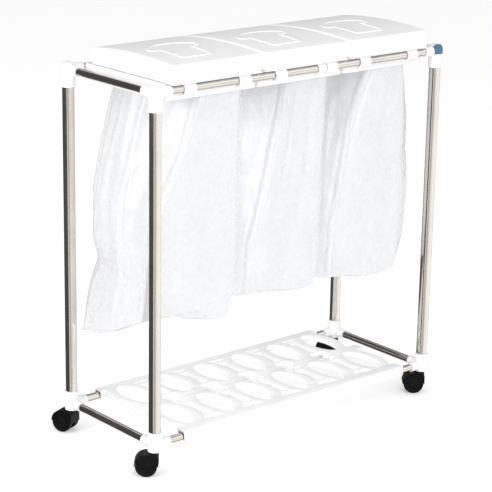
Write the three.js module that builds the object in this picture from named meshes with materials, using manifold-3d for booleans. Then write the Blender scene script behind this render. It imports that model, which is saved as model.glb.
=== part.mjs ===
// Three-compartment laundry sorter on wheels: a stainless tube frame on twin-wheel
// casters, three white hinged lids over bag holders, three film bags and a slotted
// plastic shelf.  Units mm, +Z up, +X along the length, front at -Y, floor at Z = 0.
import * as THREE from 'three';
import { mergeVertices } from 'three/addons/utils/BufferGeometryUtils.js';
import Module from 'manifold-3d';

const wasm = await Module();
wasm.setup();

// ---------------------------------------------------------------- driving dimensions
// Frame coordinates inside this file: the front-left upright's axis is x = 0, y = 0 and
// the bottom rails' axis is z = 0.  FLOOR, OX and OY carry them to the part's own frame.
const LENGTH = 776;        // upright axis to upright axis, along X
const DEPTH = 296;         // upright axis to upright axis, along Y
const RISE = 735;          // bottom rail axis to top rail axis
const FLOOR = 66;          // bottom rail axis above the floor
const OX = 375.706;        // centre of the whole part's box, along X
const OY = 161.442;        // centre of the whole part's box, along Y

const POST_R = 12.5;       // upright tube
const POST_WALL = 1.2;
const RAIL_R = 8;          // rail tube
const RAIL_WALL = 1.0;
const GAP = 0.3;           // clearance between touching pieces

const SLEEVE_R = 15;       // connector's vertical sleeve
const ARM_R = 10.5;        // connector's rail arms
const ARM_LEN = 37;        // arm end, from the upright's axis
const TUBE_END = 17;       // rail end, from the upright's axis

const WHEEL_R = 23;        // caster wheel
const TRAIL = 17;          // stem axis to axle, level
const HOOD_R = 25.4;       // hood outside radius
const HOOD_HALF = 18;      // hood half width along the axle

const PITCH = 237.5;       // compartment to compartment
const CENTRES = [150.5, 388, 625.5];
const RING_HALF = 117;     // bag holder's half width
const LID_HALF = 118;      // lid's half width
const LID_Z0 = 749;        // lid's lower edge
const HINGE_Y = 276;       // lid hinge line
const HINGE_Z = 755;

const SHELF_TOP = 14;
const SHELF_T = 11;        // lattice thickness
const RING_PITCH = 108.6;  // shelf ovals along X
const RING_X0 = 117;       // first oval's centre

// ---------------------------------------------------------------- helpers
function mat(color, roughness, metalness) {
  return new THREE.MeshStandardMaterial({ color, roughness, metalness });
}
const STEEL = () => mat(0xc9c6c0, 0.22, 1.0);
const WHITE = () => mat(0xf4f4f3, 0.45, 0.0);
const BLACK = () => mat(0x17181b, 0.5, 0.0);
const PIN = () => mat(0x9a9a98, 0.35, 1.0);
const FILM = () => mat(0xeef1f5, 0.4, 0.0);
const BLUE = () => mat(0x2f5f8f, 0.4, 0.0);

function solid(geometry) {
  let g = geometry.clone();
  g.deleteAttribute('normal');
  g.deleteAttribute('uv');
  if (!g.index) {
    const n = g.attributes.position.count;
    g.setIndex([...Array(n).keys()]);
  }
  g = mergeVertices(g, 1e-4);
  return new wasm.Manifold(new wasm.Mesh({
    numProp: 3,
    vertProperties: new Float32Array(g.attributes.position.array),
    triVerts: new Uint32Array(g.index.array),
  }));
}
function geometryOf(manifold) {
  const m = manifold.getMesh();
  const g = new THREE.BufferGeometry();
  const pos = new Float32Array(m.numVert * 3);
  for (let i = 0; i < m.numVert; i++)
    for (let k = 0; k < 3; k++) pos[3 * i + k] = m.vertProperties[m.numProp * i + k];
  g.setAttribute('position', new THREE.BufferAttribute(pos, 3));
  g.setIndex(new THREE.BufferAttribute(new Uint32Array(m.triVerts), 1));
  return g;
}
const join = (list) => list.reduce((a, b) => a.add(b));

// an outline in the XY plane, extruded from z0 to z1
function prism(points, z0, z1) {
  const s = new THREE.Shape(points.map(([x, y]) => new THREE.Vector2(x, y)));
  const g = new THREE.ExtrudeGeometry(s, { depth: z1 - z0, bevelEnabled: false, curveSegments: 1 });
  g.translate(0, 0, z0);
  return g;
}
// an outline in the YZ plane, extruded from x0 to x1
function prismX(points, x0, x1) {
  const g = prism(points, x0, x1);            // (a, b, c) -> (c, a, b)
  g.applyMatrix4(new THREE.Matrix4().set(0, 0, 1, 0, 1, 0, 0, 0, 0, 1, 0, 0, 0, 0, 0, 1));
  return g;
}
function boxAt(x0, x1, y0, y1, z0, z1) {
  const g = new THREE.BoxGeometry(x1 - x0, y1 - y0, z1 - z0);
  g.translate((x0 + x1) / 2, (y0 + y1) / 2, (z0 + z1) / 2);
  return g;
}
// a turned solid about +Z: profile of [r, z] pairs, outside going up
function turned(profile, segments) {
  return new THREE.LatheGeometry(profile.map(([r, z]) => new THREE.Vector2(r, z)), segments)
    .applyMatrix4(new THREE.Matrix4().makeRotationX(Math.PI / 2));
}
function rod(r, z0, z1, segments) {
  return turned([[0, z0], [r, z0], [r, z1], [0, z1]], segments);
}
function pipe(r, wall, z0, z1, segments) {
  return turned([[r - wall, z0], [r, z0], [r, z1], [r - wall, z1], [r - wall, z0]], segments);
}
// turn a +Z solid so that it runs along +X or +Y
function alongX(g) { return g.applyMatrix4(new THREE.Matrix4().makeRotationY(Math.PI / 2)); }
function alongY(g) { return g.applyMatrix4(new THREE.Matrix4().makeRotationX(-Math.PI / 2)); }

const part = new THREE.Group();
part.position.set(-OX, -OY, FLOOR);
function add(name, geometry, material, x = 0, y = 0, z = 0, turn = 0, parent = part) {
  const m = new THREE.Mesh(geometry, material);
  m.name = name;
  m.position.set(x, y, z);
  m.rotation.set(0, 0, turn);
  parent.add(m);
  return m;
}

// ---------------------------------------------------------------- corners
const CORNERS = {
  front_left: { x: 0, y: 0, sx: 1, sy: 1 },
  front_right: { x: LENGTH, y: 0, sx: -1, sy: 1 },
  back_left: { x: 0, y: DEPTH, sx: 1, sy: -1 },
  back_right: { x: LENGTH, y: DEPTH, sx: -1, sy: -1 },
};

// ---------------------------------------------------------------- tubes
for (const [key, c] of Object.entries(CORNERS)) {
  add(`upright_${key}`, pipe(POST_R, POST_WALL, -8, RISE + 3, 12), STEEL(), c.x, c.y, 0);
}
for (const [level, z] of [['bottom', 0], ['top', RISE]]) {
  for (const [side, y] of [['front', 0], ['back', DEPTH]]) {
    add(`${level}_rail_${side}`, alongX(pipe(RAIL_R, RAIL_WALL, TUBE_END, LENGTH - TUBE_END, 10)), STEEL(), 0, y, z);
  }
  for (const [side, x] of [['left', 0], ['right', LENGTH]]) {
    add(`${level}_rail_${side}`, alongY(pipe(RAIL_R, RAIL_WALL, TUBE_END, DEPTH - TUBE_END, 10)), STEEL(), x, 0, z);
  }
}

// ---------------------------------------------------------------- corner connectors
function arms(sx, sy) {
  const out = [], bores = [];
  for (const [axis, s] of [['x', sx], ['y', sy]]) {
    const arm = turned([[0, 0], [ARM_R + 1.8, 0], [ARM_R + 1.8, 16], [ARM_R, 19], [ARM_R, ARM_LEN], [0, ARM_LEN]], 10);
    const bore = rod(RAIL_R + GAP, TUBE_END - GAP, ARM_LEN + 2, 10);
    for (const g of [arm, bore]) {
      if (axis === 'x') alongX(g); else alongY(g);
      if (s < 0) g.applyMatrix4(new THREE.Matrix4().makeRotationZ(Math.PI));
    }
    out.push(solid(arm));
    bores.push(solid(bore));
  }
  return [out, bores];
}
for (const [key, c] of Object.entries(CORNERS)) {
  const [armSolids, armBores] = arms(c.sx, c.sy);
  // top: closed dome over the upright
  const dome = turned([[0, -37], [SLEEVE_R, -37], [SLEEVE_R, 7], [11.5, 13.6], [0, 15.8]], 12);
  let top = join([solid(dome), ...armSolids]);
  top = top.subtract(solid(rod(POST_R + GAP, -39, 3.4, 12)));
  for (const b of armBores) top = top.subtract(b);
  add(`top_connector_${key}`, geometryOf(top), WHITE(), c.x, c.y, RISE);
  // bottom: open to the upright above, floor with the caster stem's hole
  const cup = turned([[0, -15.5], [12.6, -15.5], [SLEEVE_R, -13.5], [SLEEVE_R, 28], [0, 28]], 12);
  let low = join([solid(cup), ...armSolids.map((a) => a)]);
  low = low.subtract(solid(rod(POST_R + GAP, -8.4, 30, 12)));
  low = low.subtract(solid(rod(4 + GAP, -17, 0, 10)));
  for (const b of armBores) low = low.subtract(b);
  add(`bottom_connector_${key}`, geometryOf(low), WHITE(), c.x, c.y, 0);
}

// ---------------------------------------------------------------- casters
// Local frame: stem axis at the origin, trail along +X, axle along Y, z = 0 at the
// bottom rails' level.
const AXLE_Z = -FLOOR + WHEEL_R;
function casterHood() {
  const n = 8, pts = [];
  // outside: rear corner squared off over the stem, then the arc down to the front
  pts.push([-HOOD_R, -2], [-HOOD_R, 20], [-21.5, HOOD_R - 0.6], [-6, HOOD_R - 0.1]);
  for (let i = 0; i <= n; i++) {
    const a = (Math.PI / 180) * (96 - (98 * i) / n);
    pts.push([HOOD_R * Math.cos(a), HOOD_R * Math.sin(a)]);
  }
  const inner = [];
  const ri = WHEEL_R + 0.7;
  for (let i = 0; i <= n; i++) {
    const a = (Math.PI / 180) * (-2 + (184 * i) / n);
    inner.push([ri * Math.cos(a), ri * Math.sin(a)]);
  }
  const shell = prism([...pts, ...inner].reverse(), -HOOD_HALF, HOOD_HALF);
  // web between the wheels, with the axle boss and the stem's column
  const web = [];
  web.push([-HOOD_R, -2], [-HOOD_R, 20], [-21.5, HOOD_R - 0.6], [-6, HOOD_R - 0.1]);
  for (let i = 0; i <= 6; i++) {
    const a = (Math.PI / 180) * (96 - (66 * i) / 6);
    web.push([(HOOD_R - 0.4) * Math.cos(a), (HOOD_R - 0.4) * Math.sin(a)]);
  }
  web.push([8, 3], [7, -4], [0, -8], [-9, -8]);
  const webG = prism(web.reverse(), -5.8, 5.8);
  const up = new THREE.Matrix4().makeRotationX(Math.PI / 2);   // outline (s, h) -> X, Z
  shell.applyMatrix4(up);
  webG.applyMatrix4(up);
  let m = solid(shell).add(solid(webG));
  const bore = rod(3 + GAP, -20, 20, 12);
  alongY(bore);
  m = m.subtract(solid(bore));
  const stemBore = rod(3.4 + GAP, 1, 40, 12);
  stemBore.translate(-TRAIL, 0, 0);
  m = m.subtract(solid(stemBore));
  const g = geometryOf(m);
  g.translate(TRAIL, 0, AXLE_Z);
  return g;
}
function casterWheel(side) {
  const g = turned([[0, 16.9], [3 + GAP, 16.9], [3 + GAP, 6.3], [22.2, 6.3], [WHEEL_R, 7.2], [WHEEL_R, 17.4],
    [21.4, 18.7], [0, 18.7]], 16);
  alongY(g);
  if (side < 0) g.applyMatrix4(new THREE.Matrix4().makeRotationZ(Math.PI));
  return g;
}
const CASTER_TURN = { front_left: 139.6, front_right: 139.6, back_left: 111.7, back_right: 128 };   // trail direction, degrees
for (const [key, c] of Object.entries(CORNERS)) {
  const g = new THREE.Group();
  g.position.set(c.x, c.y, 0);
  g.rotation.z = (CASTER_TURN[key] * Math.PI) / 180;
  part.add(g);
  const stem = turned([[0, AXLE_Z + 1.4], [3.4, AXLE_Z + 1.4], [3.4, -16.4], [4, -16.0], [4, 12], [0, 12]], 10);
  add(`caster_stem_${key}`, stem, PIN(), 0, 0, 0, 0, g);
  add(`caster_hood_${key}`, casterHood(), BLACK(), 0, 0, 0, 0, g);
  add(`caster_axle_${key}`, alongY(rod(3, -16.4, 16.4, 10)), PIN(), TRAIL, 0, AXLE_Z, 0, g);
  add(`wheel_near_${key}`, casterWheel(1), BLACK(), TRAIL, 0, AXLE_Z, 0, g);
  add(`wheel_far_${key}`, casterWheel(-1), BLACK(), TRAIL, 0, AXLE_Z, 0, g);
}

// ---------------------------------------------------------------- shelf
function shelf() {
  const x0 = 68, x1 = 708, z0 = SHELF_TOP - SHELF_T, z1 = SHELF_TOP;
  const rows = [78, 224];                     // centres of the two rows of ovals
  const cols = [...Array(6).keys()].map((i) => RING_X0 + i * RING_PITCH);
  const ai = 26, bi = 58.5, ao = 48.3, bo = 76;   // inner and outer half axes
  const ring = (cx, cy, a, b, n, extra) => {
    const p = [];
    for (let i = 0; i < n; i++) {
      const t = (2 * Math.PI * i) / n;
      p.push([cx + a * Math.cos(t), cy + b * Math.sin(t)]);
    }
    return prism(p, z0 - extra, z1 + extra);
  };
  let body = null;
  for (const cx of cols) for (const cy of rows) {
    const r = solid(ring(cx, cy, ao, bo, 16, 0));
    body = body ? body.add(r) : r;
  }
  // cross ribs that tie neighbouring ovals, the middle bar and the two edge bars
  const bars = [];
  for (const cy of rows) for (const dy of [-40, 40]) bars.push(boxAt(x0 + 20, x1 - 20, cy + dy - 3, cy + dy + 3, z0, z1));
  bars.push(boxAt(x0 - 12, x1 + 12, 138, 164, z0, z1));
  bars.push(boxAt(x0 + 2, x1 - 2, 9, 15, z0, z1), boxAt(x0 + 2, x1 - 2, DEPTH - 15, DEPTH - 9, z0, z1));
  for (const b of bars) body = body.add(solid(b));
  const diamonds = [];
  for (let i = 0; i < 5; i++) {
    const cx = cols[i] + RING_PITCH / 2;
    diamonds.push([[cx - 17, 151], [cx, 123], [cx + 17, 151], [cx, 179]]);
  }
  for (const d of diamonds) body = body.subtract(solid(prism(d, z0 - 1, z1 + 1)));
  body = body.intersect(solid(boxAt(x0 - 20, x1 + 20, RAIL_R + 0.6, DEPTH - RAIL_R - 0.6, z0 - 1, z1 + 1)));
  // channels over the front and back rails
  for (const [yc, s] of [[0, 1], [DEPTH, -1]]) {
    const o = [[-11, -9], [-11, 12.6], [-9.6, 14], [12, 14], [12, 3], [10.9, 3], [10.9, -4], [RAIL_R + GAP, -4], [RAIL_R + GAP, 9.5],
      [-RAIL_R - GAP, 9.5], [-RAIL_R - GAP, -9]].map(([y, z]) => [yc + s * y, z]);
    if (s > 0) o.reverse();
    body = body.add(solid(prismX(o, x0 + 2, x1 - 2)));
  }
  for (const cx of cols) for (const cy of rows) body = body.subtract(solid(ring(cx, cy, ai, bi, 14, 2)));
  return geometryOf(body);
}
add('shelf', shelf(), WHITE());

// ---------------------------------------------------------------- bag holders
// A C-shaped hook round a rail whose axis is y = yc; s = +1 opens towards +Y.
function hook(xc, half, yc, s, outer, z) {
  const pts = [], n = 8, a0 = -18, a1 = 300;
  const inner = (RAIL_R + 0.4) / Math.cos((Math.PI / 360) * ((a1 - a0) / n));
  for (let i = 0; i <= n; i++) {
    const a = (Math.PI / 180) * (a0 + ((a1 - a0) * i) / n);
    pts.push([s * outer * Math.cos(a), outer * Math.sin(a)]);
  }
  for (let i = n; i >= 0; i--) {
    const a = (Math.PI / 180) * (a0 + ((a1 - a0) * i) / n);
    pts.push([s * inner * Math.cos(a), inner * Math.sin(a)]);
  }
  const o = pts.map(([y, zz]) => [yc + y, z + zz]);
  if (s < 0) o.reverse();
  return prismX(o, xc - half, xc + half);
}
function bagHolder(cx) {
  const x0 = cx - RING_HALF, x1 = cx + RING_HALF, y0 = 11.1, y1 = DEPTH - 11.1, t = 2.6, zb = 712, zt = 746.8;
  let m = solid(boxAt(x0, x1, y0, y1, zb, zt)).subtract(solid(boxAt(x0 + t, x1 - t, y0 + t, y1 - t, zb - 1, zt + 1)));
  m = m.add(solid(boxAt(x0, x1, -12, y0 + t, zt - 0.3, zt + 1.6)));     // lip over the front rail
  for (const dx of [-70.5, 70.5]) {
    m = m.add(solid(hook(cx + dx, 15, 0, 1, 11.9, RISE)));
    m = m.add(solid(hook(cx + dx, 15, DEPTH, -1, 11.9, RISE)));
  }
  // hinge ears behind the lid
  for (const dx of [-74, -56, 56, 74]) {
    const ear = [[HINGE_Y - 4.5, 745.2], [y1 - t, 745.2], [y1 - t, zt - 12], [y1, zt - 12], [y1, zt - 1], [HINGE_Y + 4.5, HINGE_Z], [HINGE_Y + 3, HINGE_Z + 4], [HINGE_Y - 3, HINGE_Z + 4], [HINGE_Y - 4.5, HINGE_Z]];
    m = m.add(solid(prismX(ear, cx + dx - 2, cx + dx + 2)));
  }
  const bore = alongX(rod(2 + GAP, cx - 80, cx + 80, 12));
  bore.translate(0, HINGE_Y, HINGE_Z);
  m = m.subtract(solid(bore));
  return geometryOf(m);
}
CENTRES.forEach((cx, i) => add(`bag_holder_${i + 1}`, bagHolder(cx), WHITE()));

// rail clip beside the middle holder's right hook
{
  const c = solid(hook(431, 10.5, 0, 1, 11.2, RISE));
  add('rail_clip', geometryOf(c), WHITE());
}

// ---------------------------------------------------------------- lids
// Arched shell: the roof falls from the middle towards the front and the hinge.
// Each station is a slice across X: [y, roof height, half width].
const STATIONS = [
  [-12, 779.5, 103], [-8.5, 783.4, 112], [2, 785.8, 118], [32, 788.2, 118], [80, 790.6, 118], [135, 791, 118],
  [190, 788.8, 118], [240, 784.2, 118], [256, 781.8, 116], [266, 779.8, 108],
];
function lidLoft(cx, inset, z0) {
  const v = [], idx = [];
  const n = STATIONS.length;
  STATIONS.forEach(([y, z, h], k) => {
    const yy = k === 0 ? y + inset : k === n - 1 ? y - inset : y;
    const zz = z - inset, w = h - inset;
    for (const [x, zc] of [[-w, z0], [-w, zz - 9], [-w + 2.6, zz - 3], [-w + 9, zz], [w - 9, zz], [w - 2.6, zz - 3], [w, zz - 9], [w, z0]]) v.push(cx + x, yy, zc);
  });
  for (let k = 0; k + 1 < n; k++) for (let i = 0; i < 8; i++) {
    const a = 8 * k + i, b = 8 * k + ((i + 1) % 8), c = b + 8, d = a + 8;
    idx.push(a, b, d, b, c, d);
  }
  const L = 8 * (n - 1);
  for (let i = 1; i < 7; i++) { idx.push(0, i + 1, i); idx.push(L, L + i, L + i + 1); }
  const g = new THREE.BufferGeometry();
  g.setAttribute('position', new THREE.BufferAttribute(new Float32Array(v), 3));
  g.setIndex(idx);
  return g;
}
function lid(cx) {
  let m = solid(lidLoft(cx, 0, LID_Z0)).subtract(solid(lidLoft(cx, 2.4, LID_Z0 - 6)));
  // hinge lugs
  for (const dx of [-65, 65]) {
    const lug = [[262, LID_Z0 + 1], [HINGE_Y, HINGE_Z - 4.2], [HINGE_Y + 3, HINGE_Z - 3], [HINGE_Y + 4.2, HINGE_Z], [HINGE_Y + 3, HINGE_Z + 3], [HINGE_Y, HINGE_Z + 4.2], [264, HINGE_Z + 8], [262, HINGE_Z + 8]];
    m = m.add(solid(prismX(lug, cx + dx - 6, cx + dx + 6)));
  }
  const bore = alongX(rod(2 + GAP, cx - 80, cx + 80, 12));
  bore.translate(0, HINGE_Y, HINGE_Z);
  m = m.subtract(solid(bore));
  return geometryOf(m);
}
CENTRES.forEach((cx, i) => {
  add(`lid_${i + 1}`, lid(cx), WHITE());
  const pin = alongX(rod(2, cx - 78, cx + 78, 12));
  pin.translate(0, HINGE_Y, HINGE_Z);
  add(`lid_pin_${i + 1}`, pin, PIN());
});

// ---------------------------------------------------------------- film bags
// Open-topped loft: eight corners at each level, listed as [x, y] from the holder's
// centre line, and closed at the bottom.
const BAGS = [
  [
    [[-12, 16, 744], [80, 15.5, 744], [112, 45, 744], [112, 225, 744], [72, 280, 744], [-34, 280, 744], [-62, 246, 744], [-88, 150, 744]],
    [[-24, 16, 700], [78, 16, 700], [113, 48, 700], [113, 225, 700], [72, 280, 700], [-40, 280, 700], [-74, 246, 700], [-98, 150, 700]],
    [[-61, 16, 600], [76, 16, 600], [112, 50, 600], [112, 225, 600], [72, 284, 600], [-74, 283, 600], [-112, 240, 600], [-122, 150, 600]],
    [[-121, 18, 480], [74, 16, 480], [110, 50, 480], [110, 225, 480], [70, 285, 480], [-98, 284, 480], [-134, 240, 480], [-150, 150, 480]],
    [[-150, 22, 380], [71, 16, 380], [106, 50, 380], [105, 225, 380], [66, 286, 380], [-102, 284, 380], [-134, 240, 380], [-156, 140, 380]],
    [[-152, 28, 330], [70, 15, 330], [103, 50, 330], [102, 225, 330], [66, 286, 330], [-96, 285, 330], [-128, 240, 330], [-154, 140, 330]],
    [[-156, 30, 280], [68, 14, 280], [100, 50, 280], [100, 225, 280], [66, 286, 280], [-110, 285, 280], [-142, 240, 280], [-158, 140, 280]],
    [[-157, 34, 258], [64, 16, 256], [88, 60, 250], [88, 215, 225], [60, 280, 205], [-122, 282, 180], [-154, 236, 193], [-160, 140, 212]],
  ],
  [
    [[-22, 16, 744], [80, 15.5, 744], [112, 45, 744], [112, 225, 744], [72, 280, 744], [-34, 280, 744], [-62, 246, 744], [-88, 150, 744]],
    [[-31, 16, 700], [78, 16, 700], [113, 48, 700], [113, 225, 700], [72, 280, 700], [-36, 280, 700], [-66, 246, 700], [-98, 150, 700]],
    [[-53, 16, 600], [76, 16, 600], [112, 50, 600], [112, 225, 600], [72, 284, 600], [-60, 280, 600], [-100, 246, 600], [-119, 160, 600]],
    [[-83, 16, 480], [74, 16, 480], [110, 50, 480], [110, 225, 480], [70, 285, 480], [-78, 282, 480], [-116, 240, 480], [-121, 150, 480]],
    [[-118, 18, 380], [71, 16, 380], [106, 50, 380], [105, 225, 380], [66, 286, 380], [-84, 284, 380], [-119, 240, 380], [-125, 145, 380]],
    [[-120, 22, 330], [70, 15, 330], [103, 50, 330], [102, 225, 330], [66, 286, 330], [-84, 285, 330], [-120, 240, 330], [-127, 140, 330]],
    [[-121, 26, 280], [68, 14, 280], [100, 50, 280], [100, 225, 280], [66, 286, 280], [-84, 286, 280], [-122, 240, 280], [-129, 140, 280]],
    [[-121, 30, 262], [64, 16, 256], [88, 60, 250], [88, 215, 225], [60, 280, 212], [-70, 282, 210], [-118, 236, 212], [-128, 140, 230]],
  ],
  [
    [[-22, 16, 744], [80, 15.5, 744], [112, 45, 744], [112, 225, 744], [72, 280, 744], [-34, 280, 744], [-62, 246, 744], [-88, 150, 744]],
    [[-33, 16, 700], [78, 16, 700], [113, 48, 700], [113, 225, 700], [72, 280, 700], [-36, 280, 700], [-66, 246, 700], [-98, 150, 700]],
    [[-76, 16, 600], [76, 16, 600], [112, 50, 600], [112, 225, 600], [72, 284, 600], [-60, 280, 600], [-100, 246, 600], [-119, 160, 600]],
    [[-104, 16, 480], [74, 16, 480], [110, 50, 480], [110, 225, 480], [70, 285, 480], [-78, 282, 480], [-116, 240, 480], [-121, 150, 480]],
    [[-120, 20, 380], [71, 16, 380], [106, 50, 380], [105, 225, 380], [66, 286, 380], [-84, 284, 380], [-119, 240, 380], [-125, 145, 380]],
    [[-120, 22, 330], [70, 15, 330], [103, 50, 330], [102, 225, 330], [66, 286, 330], [-84, 285, 330], [-120, 240, 330], [-127, 140, 330]],
    [[-121, 26, 280], [68, 14, 280], [100, 50, 280], [100, 225, 280], [66, 286, 280], [-84, 286, 280], [-122, 240, 280], [-129, 140, 280]],
    [[-121, 30, 262], [64, 16, 256], [88, 60, 250], [88, 215, 225], [60, 280, 212], [-70, 282, 210], [-118, 236, 212], [-128, 140, 230]],
  ],
];
const BAG_T = 1.6;
function bag(cx, levels) {
  const rings = levels.map((ring) => ring.map(([x, y, z]) => [cx + x, y, z]));
  const n = 8;
  const c = [cx, 148];
  const inset = (ring, dz) => ring.map((p, i) => {
    const a = ring[(i + n - 1) % n], b = ring[(i + 1) % n];
    const nrm = (u, v) => { const d = [v[1] - u[1], u[0] - v[0]], l = Math.hypot(...d); return [-d[0] / l, -d[1] / l]; };
    const n1 = nrm(a, p), n2 = nrm(p, b), m = [n1[0] + n2[0], n1[1] + n2[1]];
    const k = BAG_T / (1 + n1[0] * n2[0] + n1[1] * n2[1]);
    return [p[0] + m[0] * k, p[1] + m[1] * k, p[2] + dz];
  });
  const innerRings = rings.map((r, i) => inset(r, i === rings.length - 1 ? BAG_T : 0));
  const v = [], idx = [];
  const push = (r) => { const s = v.length / 3; r.forEach((p) => v.push(...p)); return s; };
  const so = rings.map(push), si = innerRings.map(push);
  const quad = (a, b, c2, d) => idx.push(a, b, c2, a, c2, d);
  for (let k = 0; k + 1 < rings.length; k++) for (let i = 0; i < n; i++) {
    const j = (i + 1) % n;
    quad(so[k] + i, so[k + 1] + i, so[k + 1] + j, so[k] + j);
    quad(si[k] + i, si[k] + j, si[k + 1] + j, si[k + 1] + i);
  }
  for (let i = 0; i < n; i++) {                // rim
    const j = (i + 1) % n;
    quad(so[0] + i, so[0] + j, si[0] + j, si[0] + i);
  }
  const last = rings.length - 1;
  const zc = rings[last].reduce((sum, p) => sum + p[2], 0) / n;
  const oc = v.length / 3; v.push(c[0] - 20, c[1], zc - 6);
  const ic = v.length / 3; v.push(c[0] - 20, c[1], zc - 6 + BAG_T);
  for (let i = 0; i < n; i++) {
    const j = (i + 1) % n;
    idx.push(so[last] + i, oc, so[last] + j);
    idx.push(si[last] + i, si[last] + j, ic);
  }
  const g = new THREE.BufferGeometry();
  g.setAttribute('position', new THREE.BufferAttribute(new Float32Array(v), 3));
  g.setIndex(idx);
  return g;
}
CENTRES.forEach((cx, i) => add(`bag_${i + 1}`, bag(cx, BAGS[i]), FILM()));

// ---------------------------------------------------------------- plain blue label
{
  const n = 8, a0 = -100, a1 = -20, ro = SLEEVE_R + GAP + 0.5, ri = SLEEVE_R + GAP, p = [];
  for (let i = 0; i <= n; i++) { const a = (Math.PI / 180) * (a0 + ((a1 - a0) * i) / n); p.push([ro * Math.cos(a), ro * Math.sin(a)]); }
  for (let i = n; i >= 0; i--) { const a = (Math.PI / 180) * (a0 + ((a1 - a0) * i) / n); p.push([ri * Math.cos(a), ri * Math.sin(a)]); }
  add('label', prism(p, -9, 6), BLUE(), LENGTH, 0, RISE);
}

export default part;
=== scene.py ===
import bpy, bmesh, math
import numpy as np
from mathutils import Vector, Matrix, noise
from mathutils.bvhtree import BVHTree


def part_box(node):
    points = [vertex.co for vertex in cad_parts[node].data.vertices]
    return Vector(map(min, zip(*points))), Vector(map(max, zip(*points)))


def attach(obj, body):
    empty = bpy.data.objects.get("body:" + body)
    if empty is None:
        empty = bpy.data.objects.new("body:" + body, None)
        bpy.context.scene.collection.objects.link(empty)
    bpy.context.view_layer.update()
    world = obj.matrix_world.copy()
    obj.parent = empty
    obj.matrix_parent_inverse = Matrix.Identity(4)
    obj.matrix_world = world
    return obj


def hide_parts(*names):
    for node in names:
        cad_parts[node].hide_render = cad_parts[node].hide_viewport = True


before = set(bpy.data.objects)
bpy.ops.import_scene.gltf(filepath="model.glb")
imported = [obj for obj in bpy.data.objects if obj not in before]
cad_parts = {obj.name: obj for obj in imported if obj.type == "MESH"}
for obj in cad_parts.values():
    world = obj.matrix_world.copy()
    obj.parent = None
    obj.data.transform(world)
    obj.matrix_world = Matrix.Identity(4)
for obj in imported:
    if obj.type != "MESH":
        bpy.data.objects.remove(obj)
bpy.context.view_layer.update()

# ------------------------------------------------------------------ sizes
# Lengths are in millimetres in the model's own frame: front left upright at x = y = 0,
# bottom rails at z = 0. P() turns them into metres in the row frame.
OX, OY, FLOOR = 375.706, 161.442, 66.0
LENGTH, DEPTH, RISE = 776.0, 296.0, 735.0
POST_R, RAIL_R, SLEEVE_R = 12.5, 8.0, 15.0
WHEEL_R, TRAIL, HOOD_R, HOOD_HALF = 23.0, 17.0, 25.4, 18.0
CENTRES = [150.5, 388.0, 625.5]
HINGE_Y, HINGE_Z, LID_Z0 = 276.0, 755.0, 749.0
AXLE_Z = -FLOOR + WHEEL_R
CORNERS = {"front_left": (0, 0, 1, 1), "front_right": (LENGTH, 0, -1, 1), "back_left": (0, DEPTH, 1, -1), "back_right": (LENGTH, DEPTH, -1, -1)}
CASTER_TURN = {"front_left": 139.6, "front_right": 139.6, "back_left": 111.7, "back_right": 128.0}
OFFSET = Vector((-OX, -OY, FLOOR))


def P(x, y, z):
    return ((x - OX) / 1000, (y - OY) / 1000, (z + FLOOR) / 1000)


# ------------------------------------------------------------------ camera
cam_data = bpy.data.cameras.new("camera")
cam_data.lens = 134.46
cam_data.sensor_width = 36
cam_data.clip_start, cam_data.clip_end = 0.1, 60
cam = bpy.data.objects.new("camera", cam_data)
bpy.context.scene.collection.objects.link(cam)
right = Vector((0.764393, -0.644538, 0.016554)).normalized()
fwd = Vector((0.621110, 0.729234, -0.287124)).normalized()
up = right.cross(fwd).normalized()
M = Matrix((( right.x, up.x, -fwd.x, -2.50673), (right.y, up.y, -fwd.y, -2.94209), (right.z, up.z, -fwd.z, 1.54346), (0, 0, 0, 1)))
cam.matrix_world = M
bpy.context.scene.camera = cam


# ------------------------------------------------------------------ materials
class Nodes:
    """Small helper for building one material's nodes."""

    def __init__(self, name):
        self.mat = bpy.data.materials.new(name)
        self.mat.use_nodes = True
        self.t = self.mat.node_tree
        self.t.nodes.clear()
        self.out = self.t.nodes.new("ShaderNodeOutputMaterial")
        self.b = self.t.nodes.new("ShaderNodeBsdfPrincipled")
        self.t.links.new(self.b.outputs[0], self.out.inputs[0])
        self.coord = self.t.nodes.new("ShaderNodeTexCoord")
        self.xyz = self.coord.outputs["Object"]

    def n(self, kind, **kw):
        node = self.t.nodes.new(kind)
        for k, v in kw.items():
            if k in node.inputs.keys():
                node.inputs[k].default_value = v
            else:
                setattr(node, k, v)
        return node

    def link(self, a, b):
        self.t.links.new(a, b)

    def scaled(self, sx, sy, sz):
        m = self.n("ShaderNodeMapping")
        m.inputs["Scale"].default_value = (sx, sy, sz)
        self.link(self.xyz, m.inputs["Vector"])
        return m.outputs[0]

    def noise(self, scale, detail=3.0, rough=0.5, vec=None, dist=0.0):
        t = self.n("ShaderNodeTexNoise", Scale=scale, Detail=detail, Roughness=rough, Distortion=dist)
        self.link(vec or self.xyz, t.inputs["Vector"])
        return t.outputs["Fac"]

    def ramp(self, fac, stops):
        r = self.n("ShaderNodeValToRGB")
        el = r.color_ramp.elements
        while len(el) > 1:
            el.remove(el[-1])
        el[0].position, el[0].color = stops[0][0], stops[0][1]
        for p, c in stops[1:]:
            e = el.new(p)
            e.color = c
        self.link(fac, r.inputs[0])
        return r.outputs[0]

    def bump(self, height, dist, strength=1.0, chain=None):
        b = self.n("ShaderNodeBump", Strength=strength, Distance=dist)
        self.link(height, b.inputs["Height"])
        if chain is not None:
            self.link(chain, b.inputs["Normal"])
        return b.outputs[0]


def grey(v, a=1.0):
    return (v, v, v, a)


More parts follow.
